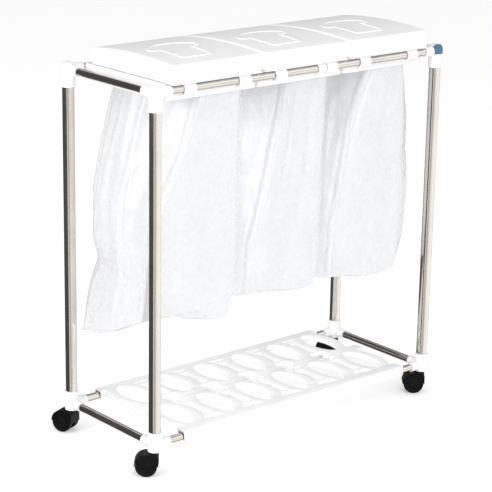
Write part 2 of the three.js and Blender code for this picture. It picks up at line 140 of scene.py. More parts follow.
def plastic_white(name, tone=(0.86, 0.86, 0.865), rough=0.34, orange=0.00003):
    m = Nodes(name)
    n1 = m.noise(9.0, 3.0, 0.55)
    c = m.ramp(n1, [(0.3, (tone[0] * 0.965, tone[1] * 0.965, tone[2] * 0.97, 1)), (0.7, (tone[0], tone[1], tone[2], 1))])
    m.link(c, m.b.inputs["Base Color"])
    n2 = m.noise(160.0, 2.0, 0.5)
    r = m.ramp(n2, [(0.35, grey(rough - 0.05)), (0.65, grey(rough + 0.06))])
    m.link(r, m.b.inputs["Roughness"])
    m.link(m.bump(m.noise(900.0, 2.0, 0.5), orange, 0.5, m.bump(m.noise(60.0, 2.0, 0.5), 0.0002, 0.18)), m.b.inputs["Normal"])
    m.b.inputs["IOR"].default_value = 1.48
    m.b.inputs["Subsurface Weight"].default_value = 0.06
    m.b.inputs["Subsurface Radius"].default_value = (0.004, 0.004, 0.004)
    return m.mat


def steel(name, axis, tone=(0.80, 0.775, 0.74), rough=0.13):
    """Polished tube: fine polishing lines round the tube, soft cloudiness along it."""
    m = Nodes(name)
    s = {"x": (700, 6, 6), "y": (6, 700, 6), "z": (6, 6, 700)}[axis]
    lines = m.noise(1.0, 4.0, 0.6, m.scaled(*s))
    cloud = m.noise(14.0, 4.0, 0.6)
    c = m.ramp(cloud, [(0.3, (tone[0] * 0.9, tone[1] * 0.9, tone[2] * 0.89, 1)), (0.7, (*tone, 1))])
    m.link(c, m.b.inputs["Base Color"])
    mix = m.n("ShaderNodeMath", operation="MULTIPLY_ADD")
    m.link(lines, mix.inputs[0])
    mix.inputs[1].default_value = 0.09
    m.link(m.ramp(cloud, [(0.35, grey(rough - 0.04)), (0.75, grey(rough + 0.03))]), mix.inputs[2])
    m.link(mix.outputs[0], m.b.inputs["Roughness"])
    m.b.inputs["Metallic"].default_value = 1.0
    m.link(m.bump(lines, 0.00002, 0.35, m.bump(cloud, 0.0006, 0.05)), m.b.inputs["Normal"])
    return m.mat


def black_plastic(name, rough=0.32):
    m = Nodes(name)
    n1 = m.noise(40.0, 4.0, 0.6)
    c = m.ramp(n1, [(0.3, (0.0035, 0.0036, 0.0042, 1)), (0.75, (0.008, 0.0082, 0.0095, 1))])
    m.link(c, m.b.inputs["Base Color"])
    r = m.ramp(m.noise(120.0, 3.0, 0.6), [(0.3, grey(rough - 0.06)), (0.7, grey(rough + 0.1))])
    m.link(r, m.b.inputs["Roughness"])
    m.link(m.bump(m.noise(1400.0, 2.0, 0.5), 0.00003, 0.5), m.b.inputs["Normal"])
    m.b.inputs["IOR"].default_value = 1.2
    return m.mat


def film(name):
    m = Nodes(name)
    cloud = m.noise(11.0, 4.0, 0.6, None, 0.4)
    c = m.ramp(cloud, [(0.3, (0.625, 0.63, 0.645, 1)), (0.62, (0.64, 0.643, 0.65, 1)), (0.8, (0.655, 0.657, 0.66, 1))])
    m.link(c, m.b.inputs["Base Color"])
    r = m.ramp(m.noise(45.0, 4.0, 0.6), [(0.3, grey(0.2)), (0.7, grey(0.34))])
    m.link(r, m.b.inputs["Roughness"])
    a = m.ramp(m.noise(18.0, 3.0, 0.5), [(0.3, grey(0.72)), (0.75, grey(0.86))])
    m.link(a, m.b.inputs["Alpha"])
    # crinkles: sharp-edged cells stretched down the bag, and finer ones inside them
    def cells(scale, sx, sz):
        v = m.n("ShaderNodeTexVoronoi", Scale=scale, feature="F1")
        w = m.n("ShaderNodeVectorMath", operation="ADD")
        m.link(m.scaled(sx, sx, sz), w.inputs[0])
        d = m.n("ShaderNodeTexNoise", Scale=6.0, Detail=2.0)
        m.link(m.xyz, d.inputs["Vector"])
        k = m.n("ShaderNodeVectorMath", operation="SCALE")
        k.inputs["Scale"].default_value = 0.25
        m.link(d.outputs["Color"], k.inputs[0])
        m.link(k.outputs[0], w.inputs[1])
        m.link(w.outputs[0], v.inputs["Vector"])
        return v.outputs["Distance"]
    b1 = m.bump(cells(1.0, 28, 13), 0.004, 0.2)
    b2 = m.bump(cells(1.0, 90, 55), 0.0014, 0.26, b1)
    b3 = m.bump(m.noise(420.0, 2.0, 0.5), 0.0001, 0.3, b2)
    m.link(b3, m.b.inputs["Normal"])
    m.b.inputs["IOR"].default_value = 1.5
    m.b.inputs["Transmission Weight"].default_value = 0.0
    m.b.inputs["Subsurface Weight"].default_value = 0.25
    m.b.inputs["Subsurface Radius"].default_value = (0.02, 0.02, 0.02)
    # painted glow: a flat bluish-white emission that stands in for the light coming through from the film's other side
    m.b.inputs["Emission Color"].default_value = (0.96, 0.975, 1.0, 1)
    m.b.inputs["Emission Strength"].default_value = 0.12
    return m.mat


def blue_label(name):
    m = Nodes(name)
    c = m.ramp(m.noise(220.0, 3.0, 0.6), [(0.3, (0.052, 0.135, 0.235, 1)), (0.7, (0.066, 0.160, 0.275, 1))])
    m.link(c, m.b.inputs["Base Color"])
    m.link(m.ramp(m.noise(90.0), [(0.3, grey(0.42)), (0.7, grey(0.55))]), m.b.inputs["Roughness"])
    m.link(m.bump(m.noise(800.0, 2.0), 0.00003, 0.5), m.b.inputs["Normal"])
    return m.mat


WHITE = plastic_white("white_plastic")
LID = plastic_white("lid_plastic", (0.95, 0.952, 0.955), 0.38, 0.00004)
# the raised line is the lid's own plastic in a lighter tone (0.985 against 0.95), so it reads brighter than the roof:
# painted highlight
LID_LINE_PAINTED_HIGHLIGHT = plastic_white("lid_outline_plastic_painted_highlight", (0.985, 0.985, 0.985), 0.3, 0.00002)
SHELF = plastic_white("shelf_plastic", (0.93, 0.93, 0.932), 0.42, 0.00005)
STEEL = {a: steel("steel_" + a, a) for a in "xyz"}
PIN = steel("pin_steel", "x", (0.6, 0.6, 0.6), 0.28)
BLACK = black_plastic("black_plastic")
TREAD = black_plastic("black_tread", 0.42)
FILM = film("bag_film")
BLUE = blue_label("label_blue")


# ------------------------------------------------------------------ mesh helpers
def mesh_object(name, verts, faces, mat, smooth=True, sharp=40):
    """verts in millimetres in the model's frame."""
    me = bpy.data.meshes.new(name)
    me.from_pydata([P(*v) for v in verts], [], faces)
    me.update()
    o = bpy.data.objects.new(name, me)
    bpy.context.scene.collection.objects.link(o)
    tidy(o, smooth, sharp)
    me.materials.append(mat)
    return o


def tidy(o, smooth=True, sharp=40):
    bm = bmesh.new()
    bm.from_mesh(o.data)
    bmesh.ops.remove_doubles(bm, verts=bm.verts, dist=1e-7)
    bmesh.ops.recalc_face_normals(bm, faces=bm.faces)
    for f in bm.faces:
        f.smooth = smooth
    lim = math.radians(sharp)
    for e in bm.edges:
        e.smooth = not (len(e.link_faces) == 2 and e.calc_face_angle(0) > lim)
    bm.to_mesh(o.data)
    bm.free()
    o.data.update()


def lathe(profile, seg, centre=(0, 0, 0), axis="z", flip=1, closed=True):
    """profile: (r, h) pairs going round the section; returns verts, faces."""
    v, f = [], []
    n = len(profile)
    for i in range(seg):
        a = 2 * math.pi * i / seg
        for r, h in profile:
            x, y, z = r * math.cos(a), r * math.sin(a), h * flip
            if axis == "x":
                x, y, z = z, x, y
            elif axis == "y":
                x, y, z = y, z, x
            v.append((centre[0] + x, centre[1] + y, centre[2] + z))
    last = n if closed else n - 1
    for i in range(seg):
        j = (i + 1) % seg
        for k in range(last):
            m = (k + 1) % n
            a, b, c, d = i * n + k, i * n + m, j * n + m, j * n + k
            ring = []
            for q in (a, b, c, d):
                if q not in ring:
                    ring.append(q)
            f.append(ring)
    return v, f


def merge(parts):
    v, f = [], []
    for pv, pf in parts:
        s = len(v)
        v += pv
        f += [[s + i for i in face] for face in pf]
    return v, f


def extrude_outline(points, lo, hi, plane="yz", bevel=0.6, steps=2):
    """A closed outline in the plane, extruded along the third axis with rounded ends. Outline runs counter-clockwise."""
    n = len(points)
    area = sum(points[i][0] * points[(i + 1) % n][1] - points[(i + 1) % n][0] * points[i][1] for i in range(n))
    if area < 0:
        points = points[::-1]
    nrm = []
    for i in range(n):
        a, b, c = points[i - 1], points[i], points[(i + 1) % n]
        d1 = Vector((b[0] - a[0], b[1] - a[1])).normalized()
        d2 = Vector((c[0] - b[0], c[1] - b[1])).normalized()
        m = Vector((d1.y + d2.y, -d1.x - d2.x))
        k = 1 + d1.dot(d2)
        nrm.append(m / max(k, 0.35))
    rings = []
    for k in range(steps + 1):
        t = math.pi / 2 * k / steps
        rings.append((lo + bevel * (1 - math.sin(t)), -bevel * (1 - math.cos(t))))
    seq = [(lo + bevel * (1 - math.sin(math.pi / 2 * (1 - k / steps))), -bevel * (1 - math.cos(math.pi / 2 * (1 - k / steps)))) for k in range(steps + 1)]
    seq += [(hi - bevel * (1 - math.sin(math.pi / 2 * k / steps)), -bevel * (1 - math.cos(math.pi / 2 * k / steps))) for k in range(steps + 1)]
    # both lists run from an inset end ring to a full side ring and back
    seq = []
    for k in range(steps + 1):
        t = math.pi / 2 * k / steps
        seq.append((lo + bevel * (1 - math.sin(t)), -bevel * (1 - math.cos(t)) if False else -bevel * (1 - math.sin(t))))
    seq = []
    for k in range(steps + 1):
        t = math.pi / 2 * k / steps
        seq.append((lo + bevel * (1 - math.cos(t)), -bevel * (1 - math.sin(t))))
    for k in range(steps, -1, -1):
        t = math.pi / 2 * k / steps
        seq.append((hi - bevel * (1 - math.cos(t)), -bevel * (1 - math.sin(t))))
    v, f = [], []
    for h, off in seq:
        for (a, b), m in zip(points, nrm):
            p, q = a + m.x * off, b + m.y * off
            v.append({"yz": (h, p, q), "xy": (p, q, h), "xz": (p, h, q)}[plane])
    for k in range(len(seq) - 1):
        for i in range(n):
            j = (i + 1) % n
            f.append([k * n + i, k * n + j, (k + 1) * n + j, (k + 1) * n + i])
    f.append(list(range(n))[::-1])
    f.append([(len(seq) - 1) * n + i for i in range(n)])
    return v, f


def fillet_outline(points, radii, steps=5):
    """Rounds the corners of a closed outline."""
    out = []
    n = len(points)
    for i in range(n):
        a, b, c = (Vector(points[i - 1]), Vector(points[i]), Vector(points[(i + 1) % n]))
        r = radii[i] if isinstance(radii, (list, tuple)) else radii
        u, w = (a - b), (c - b)
        lu, lw = u.length, w.length
        u.normalize(), w.normalize()
        ang = math.acos(max(-1, min(1, u.dot(w))))
        if r <= 0 or ang > 3.1 or ang < 0.02:
            out.append(tuple(b))
            continue
        d = min(r / math.tan(ang / 2), 0.48 * lu, 0.48 * lw)
        p, q = b + u * d, b + w * d
        for k in range(steps + 1):
            t = k / steps
            out.append(tuple((1 - t) ** 2 * p + 2 * t * (1 - t) * b + t * t * q))
    return out


# ------------------------------------------------------------------ tubes
def tube(node, axis, r, wall):
    lo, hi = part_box(node)
    c = [(lo[i] + hi[i]) / 2 for i in range(3)]
    k = "xyz".index(axis)
    h0, h1 = (lo[k] - c[k]) * 1000, (hi[k] - c[k]) * 1000
    centre = (c[0] * 1000 + OX, c[1] * 1000 + OY, c[2] * 1000 - FLOOR)
    steps = 24
    side = [(r, h0 + 0.5 + (h1 - h0 - 1.0) * i / steps) for i in range(steps + 1)]
    prof = [(r - 0.4, h0)] + side + [(r - 0.4, h1), (r - wall, h1), (r - wall, h0)]
    v, f = lathe(prof, 64, centre, axis)
    o = mesh_object("tube_" + node, v, f, STEEL[axis])
    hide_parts(node)
    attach(o, "frame")
    return o


for key in CORNERS:
    tube("upright_" + key, "z", POST_R, 1.2)
for lev in ("bottom", "top"):
    for s, ax in (("front", "x"), ("back", "x"), ("left", "y"), ("right", "y")):
        tube(f"{lev}_rail_{s}", ax, RAIL_R, 1.0)


# ------------------------------------------------------------------ corner connectors
def remeshed(name, parts, cuts, voxel, smooth_steps, mat):
    """Joins closed solids through a fine voxel remesh, so that they meet in small fillets, then cuts the bores."""
    v, f = merge(parts)
    o = mesh_object(name, v, f, mat)
    bpy.context.view_layer.objects.active = o
    m = o.modifiers.new("join", "REMESH")
    m.mode = "VOXEL"
    m.voxel_size = voxel / 1000
    m.use_smooth_shade = True
    if smooth_steps:
        s = o.modifiers.new("soften", "SMOOTH")
        s.factor, s.iterations = 0.5, smooth_steps
    tools = []
    for i, (cv, cf) in enumerate(cuts):
        t = mesh_object(f"{name}_cut_{i}", cv, cf, mat)
        b = o.modifiers.new(f"cut_{i}", "BOOLEAN")
        b.operation, b.object, b.solver = "DIFFERENCE", t, "EXACT"
        tools.append(t)
    dg = bpy.context.evaluated_depsgraph_get()
    new = bpy.data.meshes.new_from_object(o.evaluated_get(dg))
    o.modifiers.clear()
    o.data = new
    for t in tools:
        bpy.data.objects.remove(t, do_unlink=True)
    tidy(o, True, 50)
    return o


def disc_lathe(profile, seg, centre, axis, flip=1):
    """Profile from the axis to the axis."""
    v, f = lathe(profile, seg, centre, axis, flip, closed=False)
    return v, f


for key, (cx, cy, sx, sy) in CORNERS.items():
    for lev in ("top", "bottom"):
        zc = RISE if lev == "top" else 0.0
        arm = [(0, 0), (12.1, 0), (12.3, 14.5), (11.9, 15.6), (11.0, 17.6), (10.6, 19.5), (10.5, 36.2), (10.1, 36.8), (9.4, 37.0), (0, 37.0)]
        parts = []
        if lev == "top":
            body = [(0, -37), (14.3, -37), (14.85, -36.6), (15, -36), (15, 4.5), (14.6, 7.2), (13.5, 10.0), (11.6, 12.6), (8.8, 14.5), (5, 15.6), (0, 15.8)]
        else:
            body = [(0, -15.5), (12.4, -15.5), (14.0, -14.7), (14.9, -13.4), (15, -12), (15, 27.0), (14.85, 27.6), (14.3, 28), (0, 28)]
        parts.append(disc_lathe(body, 64, (cx, cy, zc), "z"))
        parts.append(disc_lathe(arm, 48, (cx, cy, zc), "x", sx))
        parts.append(disc_lathe(arm, 48, (cx, cy, zc), "y", sy))
        if lev == "top":
            cuts = [disc_lathe([(0, -39), (POST_R + 0.3, -39), (POST_R + 0.3, 3.4), (0, 3.4)], 48, (cx, cy, zc), "z")]
        else:
            cuts = [disc_lathe([(0, -8.4), (POST_R + 0.3, -8.4), (POST_R + 0.3, 30), (0, 30)], 48, (cx, cy, zc), "z"),
                    disc_lathe([(0, -17), (4.3, -17), (4.3, 0), (0, 0)], 32, (cx, cy, zc), "z")]
        for ax, s in (("x", sx), ("y", sy)):
            cuts.append(disc_lathe([(0, 16.7), (RAIL_R + 0.3, 16.7), (RAIL_R + 0.3, 39), (0, 39)], 48, (cx, cy, zc), ax, s))
        o = remeshed(f"connector_{lev}_{key}", parts, cuts, 0.8, 5, WHITE)
        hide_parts(f"{lev}_connector_{key}")
        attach(o, "frame")


# ------------------------------------------------------------------ casters
def turned_at(pv, cx, cy, deg):
    c, s = math.cos(math.radians(deg)), math.sin(math.radians(deg))
    return [(cx + x * c - y * s, cy + x * s + y * c, z) for x, y, z in pv]


def hood_mesh():
    # side outline, in (along the trail, up) from the axle
    pts = [(-HOOD_R, -2), (-HOOD_R, 17.5), (-24.6, 21.4), (-22.4, 24.0), (-19.5, 25.0), (-6, HOOD_R - 0.1)]
    n = 28
    for i in range(n + 1):
        a = math.radians(96 - 98 * i / n)
        pts.append((HOOD_R * math.cos(a), HOOD_R * math.sin(a)))
    ri = WHEEL_R + 0.7
    for i in range(n + 1):
        a = math.radians(-2 + 184 * i / n)
        pts.append((ri * math.cos(a), ri * math.sin(a)))
    shell = extrude_outline(pts, -HOOD_HALF, HOOD_HALF, "xz", 0.9, 3)
    web = [(-HOOD_R + 0.3, -2), (-HOOD_R + 0.3, 17.0), (-22, 23.6), (-6, HOOD_R - 0.6)]
    for i in range(13):
        a = math.radians(96 - 66 * i / 12)
        web.append(((HOOD_R - 0.6) * math.cos(a), (HOOD_R - 0.6) * math.sin(a)))
    web += [(8, 3), (7, -4), (0, -8), (-9, -8)]
    web = extrude_outline(web, -5.7, 5.7, "xz", 0.4, 1)
    # raised collar round the stem
    collar = disc_lathe([(0, 16), (8.6, 16), (8.6, 25.6), (8.0, 26.3), (7.2, 26.6), (0, 26.6)], 40, (-TRAIL, 0, 0), "z")
    return shell, web, collar


def wheel_profile():
    # from the inner face to the outer one: hub, dished side, raised rim, rounded tread
    return [(3.3, 16.2), (3.3, 6.3), (21.6, 6.3), (22.4, 6.6), (22.85, 7.3), (23, 8.2), (23, 16.4), (22.8, 17.3), (22.3, 18.0), (21.5, 18.5), (20.6, 18.7), (19.8, 18.6),
            (19.2, 18.1), (18.6, 17.5), (17.8, 17.3), (9.2, 17.1), (8.4, 17.3), (7.9, 17.9), (7.3, 18.4), (6.4, 18.6), (2.4, 18.6), (1.6, 18.3), (1.2, 17.9), (0, 17.8), (0, 16.2)]


hood_parts = hood_mesh()
for key, (cx, cy, sx, sy) in CORNERS.items():
    deg = CASTER_TURN[key]
    placed = []
    for pv, pf in hood_parts:
        placed.append((turned_at([(x + TRAIL, y, z + AXLE_Z) for x, y, z in pv], cx, cy, deg), pf))
    bore = disc_lathe([(0, -20), (3.3, -20), (3.3, 20), (0, 20)], 24, (0, 0, 0), "y")
    bore = (turned_at([(x + TRAIL, y, z + AXLE_Z) for x, y, z in bore[0]], cx, cy, deg), bore[1])
    stem_bore = disc_lathe([(0, 1.0), (3.7, 1.0), (3.7, 40), (0, 40)], 24, (0, 0, AXLE_Z), "z")
    stem_bore = (turned_at(stem_bore[0], cx, cy, deg), stem_bore[1])
    o = remeshed(f"hood_{key}", placed, [bore, stem_bore], 0.62, 3, BLACK)
    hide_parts(f"caster_hood_{key}")
    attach(o, f"caster_{key}")
    for side, s in (("near", 1), ("far", -1)):
        v, f = lathe(wheel_profile(), 72, (0, 0, 0), "y", s)
        v = turned_at([(x + TRAIL, y, z + AXLE_Z) for x, y, z in v], cx, cy, deg)
        o = mesh_object(f"roller_{side}_{key}", v, f, TREAD)
        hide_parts(f"wheel_{side}_{key}")
        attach(o, f"wheel_{side}_{key}_body")
    v, f = lathe([(0, -16.0), (2.6, -16.0), (3.0, -15.6), (3.0, 15.6), (2.6, 16.0), (0, 16.0)], 32, (0, 0, 0), "y", closed=False)
    v = turned_at([(x + TRAIL, y, z + AXLE_Z) for x, y, z in v], cx, cy, deg)
    o = mesh_object(f"axle_{key}", v, f, PIN)
    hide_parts(f"caster_axle_{key}")
    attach(o, f"caster_{key}")
    v, f = lathe([(0, AXLE_Z + 1.6), (2.9, AXLE_Z + 1.6), (3.4, AXLE_Z + 2.2), (3.4, -16.6), (4, -16.0), (4, 11.4), (3.4, 12), (0, 12)], 32, (cx, cy, 0), "z", closed=False)
    o = mesh_object(f"stem_{key}", v, f, PIN)
    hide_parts(f"caster_stem_{key}")
    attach(o, "frame")


# ------------------------------------------------------------------ shelf
def contour(field, x0, y0, step):
    """Closed outlines where the field crosses zero; the inside is negative."""
    ny, nx = field.shape
    segs = {}
    def cut(ax, ay, bx, by):
        fa, fb = field[ay, ax], field[by, bx]
        t = fa / (fa - fb)
        return (ax + (bx - ax) * t, ay + (by - ay) * t)
    ins = field < 0
    cells = np.argwhere((ins[:-1, :-1] != ins[1:, :-1]) | (ins[:-1, :-1] != ins[:-1, 1:]) | (ins[:-1, :-1] != ins[1:, 1:]))
    edges = {}
    for y, x in cells:
        c = [(x, y), (x + 1, y), (x + 1, y + 1), (x, y + 1)]
        hits = []
        for k in range(4):
            a, b = c[k], c[(k + 1) % 4]
            ia, ib = ins[a[1], a[0]], ins[b[1], b[0]]
            if ia != ib:
                hits.append((ia, (min(a, b), max(a, b))))
        # walk from the edge where we leave the inside to the one where we enter it
        outs = [h[1] for h in hits if h[0]]
        inn = [h[1] for h in hits if not h[0]]
        for a, b in zip(outs, inn):
            edges[b] = a
    loops = []
    while edges:
        start = next(iter(edges))
        loop, k = [], start
        while k in edges:
            loop.append(k)
            k = edges.pop(k)
        pts = [cut(a[0], a[1], b[0], b[1]) for a, b in loop]
        loops.append([(x0 + px * step, y0 + py * step) for px, py in pts])
    return loops


def smooth_loop(l, n=2):
    p = np.array(l)
    for _ in range(n):
        p = 0.5 * p + 0.25 * (np.roll(p, 1, 0) + np.roll(p, -1, 0))
    return p


def shelf_outline():
    step = 0.8
    gx = np.arange(40, 737, step)
    gy = np.arange(6.5, 289.5, step)
    X, Y = np.meshgrid(gx, gy)
    cols = [117 + 108.6 * i for i in range(6)]
    rows = [78.0, 224.0]
    def ellipse(cx, cy, a, b):
        u, w = (X - cx) / a, (Y - cy) / b
        k = np.sqrt(u * u + w * w) + 1e-9
        g = np.sqrt((u / a) ** 2 + (w / b) ** 2) + 1e-9
        return k * (k - 1) / g
    def rect(xa, xb, ya, yb):
        dx = np.abs(X - (xa + xb) / 2) - (xb - xa) / 2
        dy = np.abs(Y - (ya + yb) / 2) - (yb - ya) / 2
        return np.minimum(np.maximum(dx, dy), 0) + np.hypot(np.maximum(dx, 0), np.maximum(dy, 0))
    def smin(a, b, k):
        h = np.clip(0.5 + 0.5 * (b - a) / k, 0, 1)
        return b * (1 - h) + a * h - k * h * (1 - h)
    f = None
    for cx in cols:
        for cy in rows:
            e = ellipse(cx, cy, 48.3, 76)
            f = e if f is None else smin(f, e, 3.0)
    for cy in rows:
        for dy in (-40, 40):
            f = smin(f, rect(88, 688, cy + dy - 3, cy + dy + 3), 2.5)
    f = smin(f, rect(56, 720, 138, 164), 3.0)
    f = smin(f, rect(70, 706, 9, 15), 2.0)
    f = smin(f, rect(70, 706, DEPTH - 15, DEPTH - 9), 2.0)
    for i in range(5):
        cx = cols[i] + 54.3
        d = (np.abs(X - cx) / 17 + np.abs(Y - 151) / 28 - 1) * 14.5
        f = np.maximum(f, -d)
    for cx in cols:
        for cy in rows:
            f = np.maximum(f, -ellipse(cx, cy, 26, 58.5))
    f = np.maximum(f, rect(50, 726, 8.9, DEPTH - 8.9))
    return contour(f, 40.0, 6.5, step)


def shelf():
    loops = shelf_outline()
    cu = bpy.data.curves.new("lattice", "CURVE")
    cu.dimensions = "2D"
    cu.fill_mode = "BOTH"
    cu.extrude = 0.0055 - 0.0007
    cu.bevel_depth = 0.0007
    cu.bevel_resolution = 1
    cu.offset = -0.0007
    for l in loops:
        if len(l) < 12:
            continue
        p = smooth_loop(l, 3)[::2]
        sp = cu.splines.new("POLY")
        sp.points.add(len(p) - 1)
        for k, (x, y) in enumerate(p):
            q = P(x, y, 0)
            sp.points[k].co = (q[0], q[1], 0, 1)
        sp.use_cyclic_u = True
    tmp = bpy.data.objects.new("lattice", cu)
    bpy.context.scene.collection.objects.link(tmp)
    dg = bpy.context.evaluated_depsgraph_get()
    me = bpy.data.meshes.new_from_object(tmp.evaluated_get(dg))
    zc = (8.5 + FLOOR) / 1000
    for vtx in me.vertices:
        vtx.co.z += zc
    bpy.data.objects.remove(tmp, do_unlink=True)
    o = bpy.data.objects.new("shelf_lattice", me)
    bpy.context.scene.collection.objects.link(o)
    tidy(o, True, 30)
    me.materials.clear()
    me.materials.append(SHELF)
    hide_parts("shelf")
    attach(o, "frame")
    for name, yc, s in (("front", 0, 1), ("back", DEPTH, -1)):
        out = [(-11, -9), (-11, 14), (12, 14), (12, 3), (10.9, 3), (10.9, -4), (8.4, -4), (8.4, 9.5), (-8.4, 9.5), (-8.4, -9)]
        rad = [1.0, 3.2, 0.8, 0.4, 0.2, 0.6, 0.6, 4.0, 4.0, 0.8]
        pts = fillet_outline([(yc + s * y, z) for y, z in out], rad, 5)
        v, f = extrude_outline(pts, 70, 706, "yz", 0.8, 3)
        c = mesh_object(f"shelf_channel_{name}", v, f, SHELF, True, 35)
        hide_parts("shelf")
        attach(c, "frame")


shelf()


# ------------------------------------------------------------------ bag holders, hooks, clip
def arc_hook(xc, half, yc, s, inner, outer, z, a0=-18, a1=300, n=40, bevel=0.8):
    pts = []
    for i in range(n + 1):
        a = math.radians(a0 + (a1 - a0) * i / n)
        pts.append((s * outer * math.cos(a), outer * math.sin(a)))
    for i in range(n, -1, -1):
        a = math.radians(a0 + (a1 - a0) * i / n)
        pts.append((s * inner * math.cos(a), inner * math.sin(a)))
    return extrude_outline([(yc + y, z + h) for y, h in pts], xc - half, xc + half, "yz", bevel, 3)


def rounded_rect(x0, x1, y0, y1, r, n=8):
    out = []
    for cx, cy, a0 in ((x1 - r, y0 + r, -90), (x1 - r, y1 - r, 0), (x0 + r, y1 - r, 90), (x0 + r, y0 + r, 180)):
        for k in range(n + 1):
            a = math.radians(a0 + 90 * k / n)
            out.append((cx + r * math.cos(a), cy + r * math.sin(a)))
    return out


def ring_wall(outer, inner, z0, z1, bevel=0.5):
    """A wall between two outlines with the same number of points."""
    n = len(outer)
    prof = [(0, z0 + bevel), (0, z1 - bevel), (bevel, z1), (1 - 0, z1)]
    v, f = [], []
    O, I = np.array(outer), np.array(inner)
    d = I - O
    t = np.linalg.norm(d, axis=1, keepdims=True)
    u = d / t
    rings = [(O, z0 + bevel), (O, z1 - bevel), (O + u * bevel * 0.3, z1 - bevel * 0.3), (O + u * bevel, z1), (I - u * bevel, z1), (I - u * bevel * 0.3, z1 - bevel * 0.3), (I, z1 - bevel),
             (I, z0 + bevel), (I - u * bevel * 0.3, z0 + bevel * 0.3), (I - u * bevel, z0), (O + u * bevel, z0), (O + u * bevel * 0.3, z0 + bevel * 0.3)]
    for ring, z in rings:
        v += [(float(p[0]), float(p[1]), z) for p in ring]
    m = len(rings)
    for k in range(m):
        for i in range(n):
            j = (i + 1) % n
            a, b = k * n, ((k + 1) % m) * n
            f.append([a + i, a + j, b + j, b + i])
    return v, f


for idx, cx in enumerate(CENTRES, 1):
    x0, x1, y0, y1, t = cx - 117, cx + 117, 11.1, DEPTH - 11.1, 2.6
    wall = ring_wall(rounded_rect(x0, x1, y0, y1, 7), rounded_rect(x0 + t, x1 - t, y0 + t, y1 - t, 4.4), 712, 746.8)
    parts = [wall]
    lip = extrude_outline(fillet_outline([(x0 + 0.5, -12), (x1 - 0.5, -12), (x1 - 0.5, 13.6), (x0 + 0.5, 13.6)], [5, 5, 1, 1], 5), 746.5, 748.4, "xy", 0.5, 2)
    parts.append(lip)
    # hooks that clip round the top rails, two on the front rail and two on the back one
    for dx in (-70.5, 70.5):
        parts.append(arc_hook(cx + dx, 15, 0, 1, 8.4, 11.9, RISE))
        parts.append(arc_hook(cx + dx, 15, DEPTH, -1, 8.4, 11.9, RISE))
    for dx in (-74, -56, 56, 74):
        ear = [(HINGE_Y - 4.5, 745.2), (y1 - t, 745.2), (y1 - t, 734.8), (y1, 734.8), (y1, 745.8), (HINGE_Y + 4.5, HINGE_Z), (HINGE_Y + 2.6, HINGE_Z + 3.6), (HINGE_Y - 2.6, HINGE_Z + 3.6), (HINGE_Y - 4.5, HINGE_Z)]
        parts.append(extrude_outline(fillet_outline(ear, 1.2, 4), cx + dx - 2, cx + dx + 2, "yz", 0.35, 2))
    v, f = merge(parts)
    o = mesh_object(f"holder_{idx}", v, f, WHITE, True, 35)
    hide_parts(f"bag_holder_{idx}")
    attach(o, "frame")
    v, f = lathe([(0, -78), (1.6, -78), (2.0, -77.6), (2.0, 77.6), (1.6, 78), (0, 78)], 24, (cx, HINGE_Y, HINGE_Z), "x", closed=False)
    o = mesh_object(f"hinge_pin_{idx}", v, f, PIN)
    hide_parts(f"lid_pin_{idx}")
    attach(o, "frame")

v, f = arc_hook(431, 10.5, 0, 1, 8.35, 11.2, RISE, bevel=0.9)
o = mesh_object("clip_on_rail", v, f, WHITE, True, 35)
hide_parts("rail_clip")
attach(o, "frame")


# ------------------------------------------------------------------ lids
ROOF = [(-12, 783.0), (-8.5, 784.4), (2, 785.8), (32, 788.2), (80, 790.6), (135, 791.0), (190, 788.8), (240, 784.2), (256, 781.8), (266, 779.8)]


def roof(y):
    """Smooth curve through the roof's heights."""
    ys = [p[0] for p in ROOF]
    zs = [p[1] for p in ROOF]
    y = min(max(y, ys[0]), ys[-1])
    i = max(0, min(len(ys) - 2, int(np.searchsorted(ys, y)) - 1))
    def slope(k):
        if k == 0:
            return (zs[1] - zs[0]) / (ys[1] - ys[0])
        if k == len(ys) - 1:
            return (zs[-1] - zs[-2]) / (ys[-1] - ys[-2])
        return (zs[k + 1] - zs[k - 1]) / (ys[k + 1] - ys[k - 1])
    h = ys[i + 1] - ys[i]
    t = (y - ys[i]) / h
    m0, m1 = slope(i) * h, slope(i + 1) * h
    return (2 * t ** 3 - 3 * t * t + 1) * zs[i] + (t ** 3 - 2 * t * t + t) * m0 + (3 * t * t - 2 * t ** 3) * zs[i + 1] + (t ** 3 - t * t) * m1


def plan(cx, inset, r_front=17.0, r_back=13.0, n=14):
    """The lid's outline seen from above, counter-clockwise, with the same number of points at any inset."""
    x0, x1, y0, y1 = cx - 118 + inset, cx + 118 - inset, -12 + inset, 266 - inset
    out = []
    for px, py, r, a0 in ((x1, y0, r_front, -90), (x1, y1, r_back, 0), (x0, y1, r_back, 90), (x0, y0, r_front, 180)):
        r = max(r - inset, 0.8)
        ccx = px - r if px == x1 else px + r
        ccy = py + r if py == y0 else py - r
        for k in range(n + 1):
            a = math.radians(a0 + 90 * k / n)
            out.append((ccx + r * math.cos(a), ccy + r * math.sin(a)))
    # extra points along the four straights
    full = []
    m = len(out)
    for i in range(m):
        a, b = out[i], out[(i + 1) % m]
        full.append(a)
        if i % (n + 1) == n:
            for k in range(1, 24):
                t = k / 24
                full.append((a[0] + (b[0] - a[0]) * t, a[1] + (b[1] - a[1]) * t))
    return full


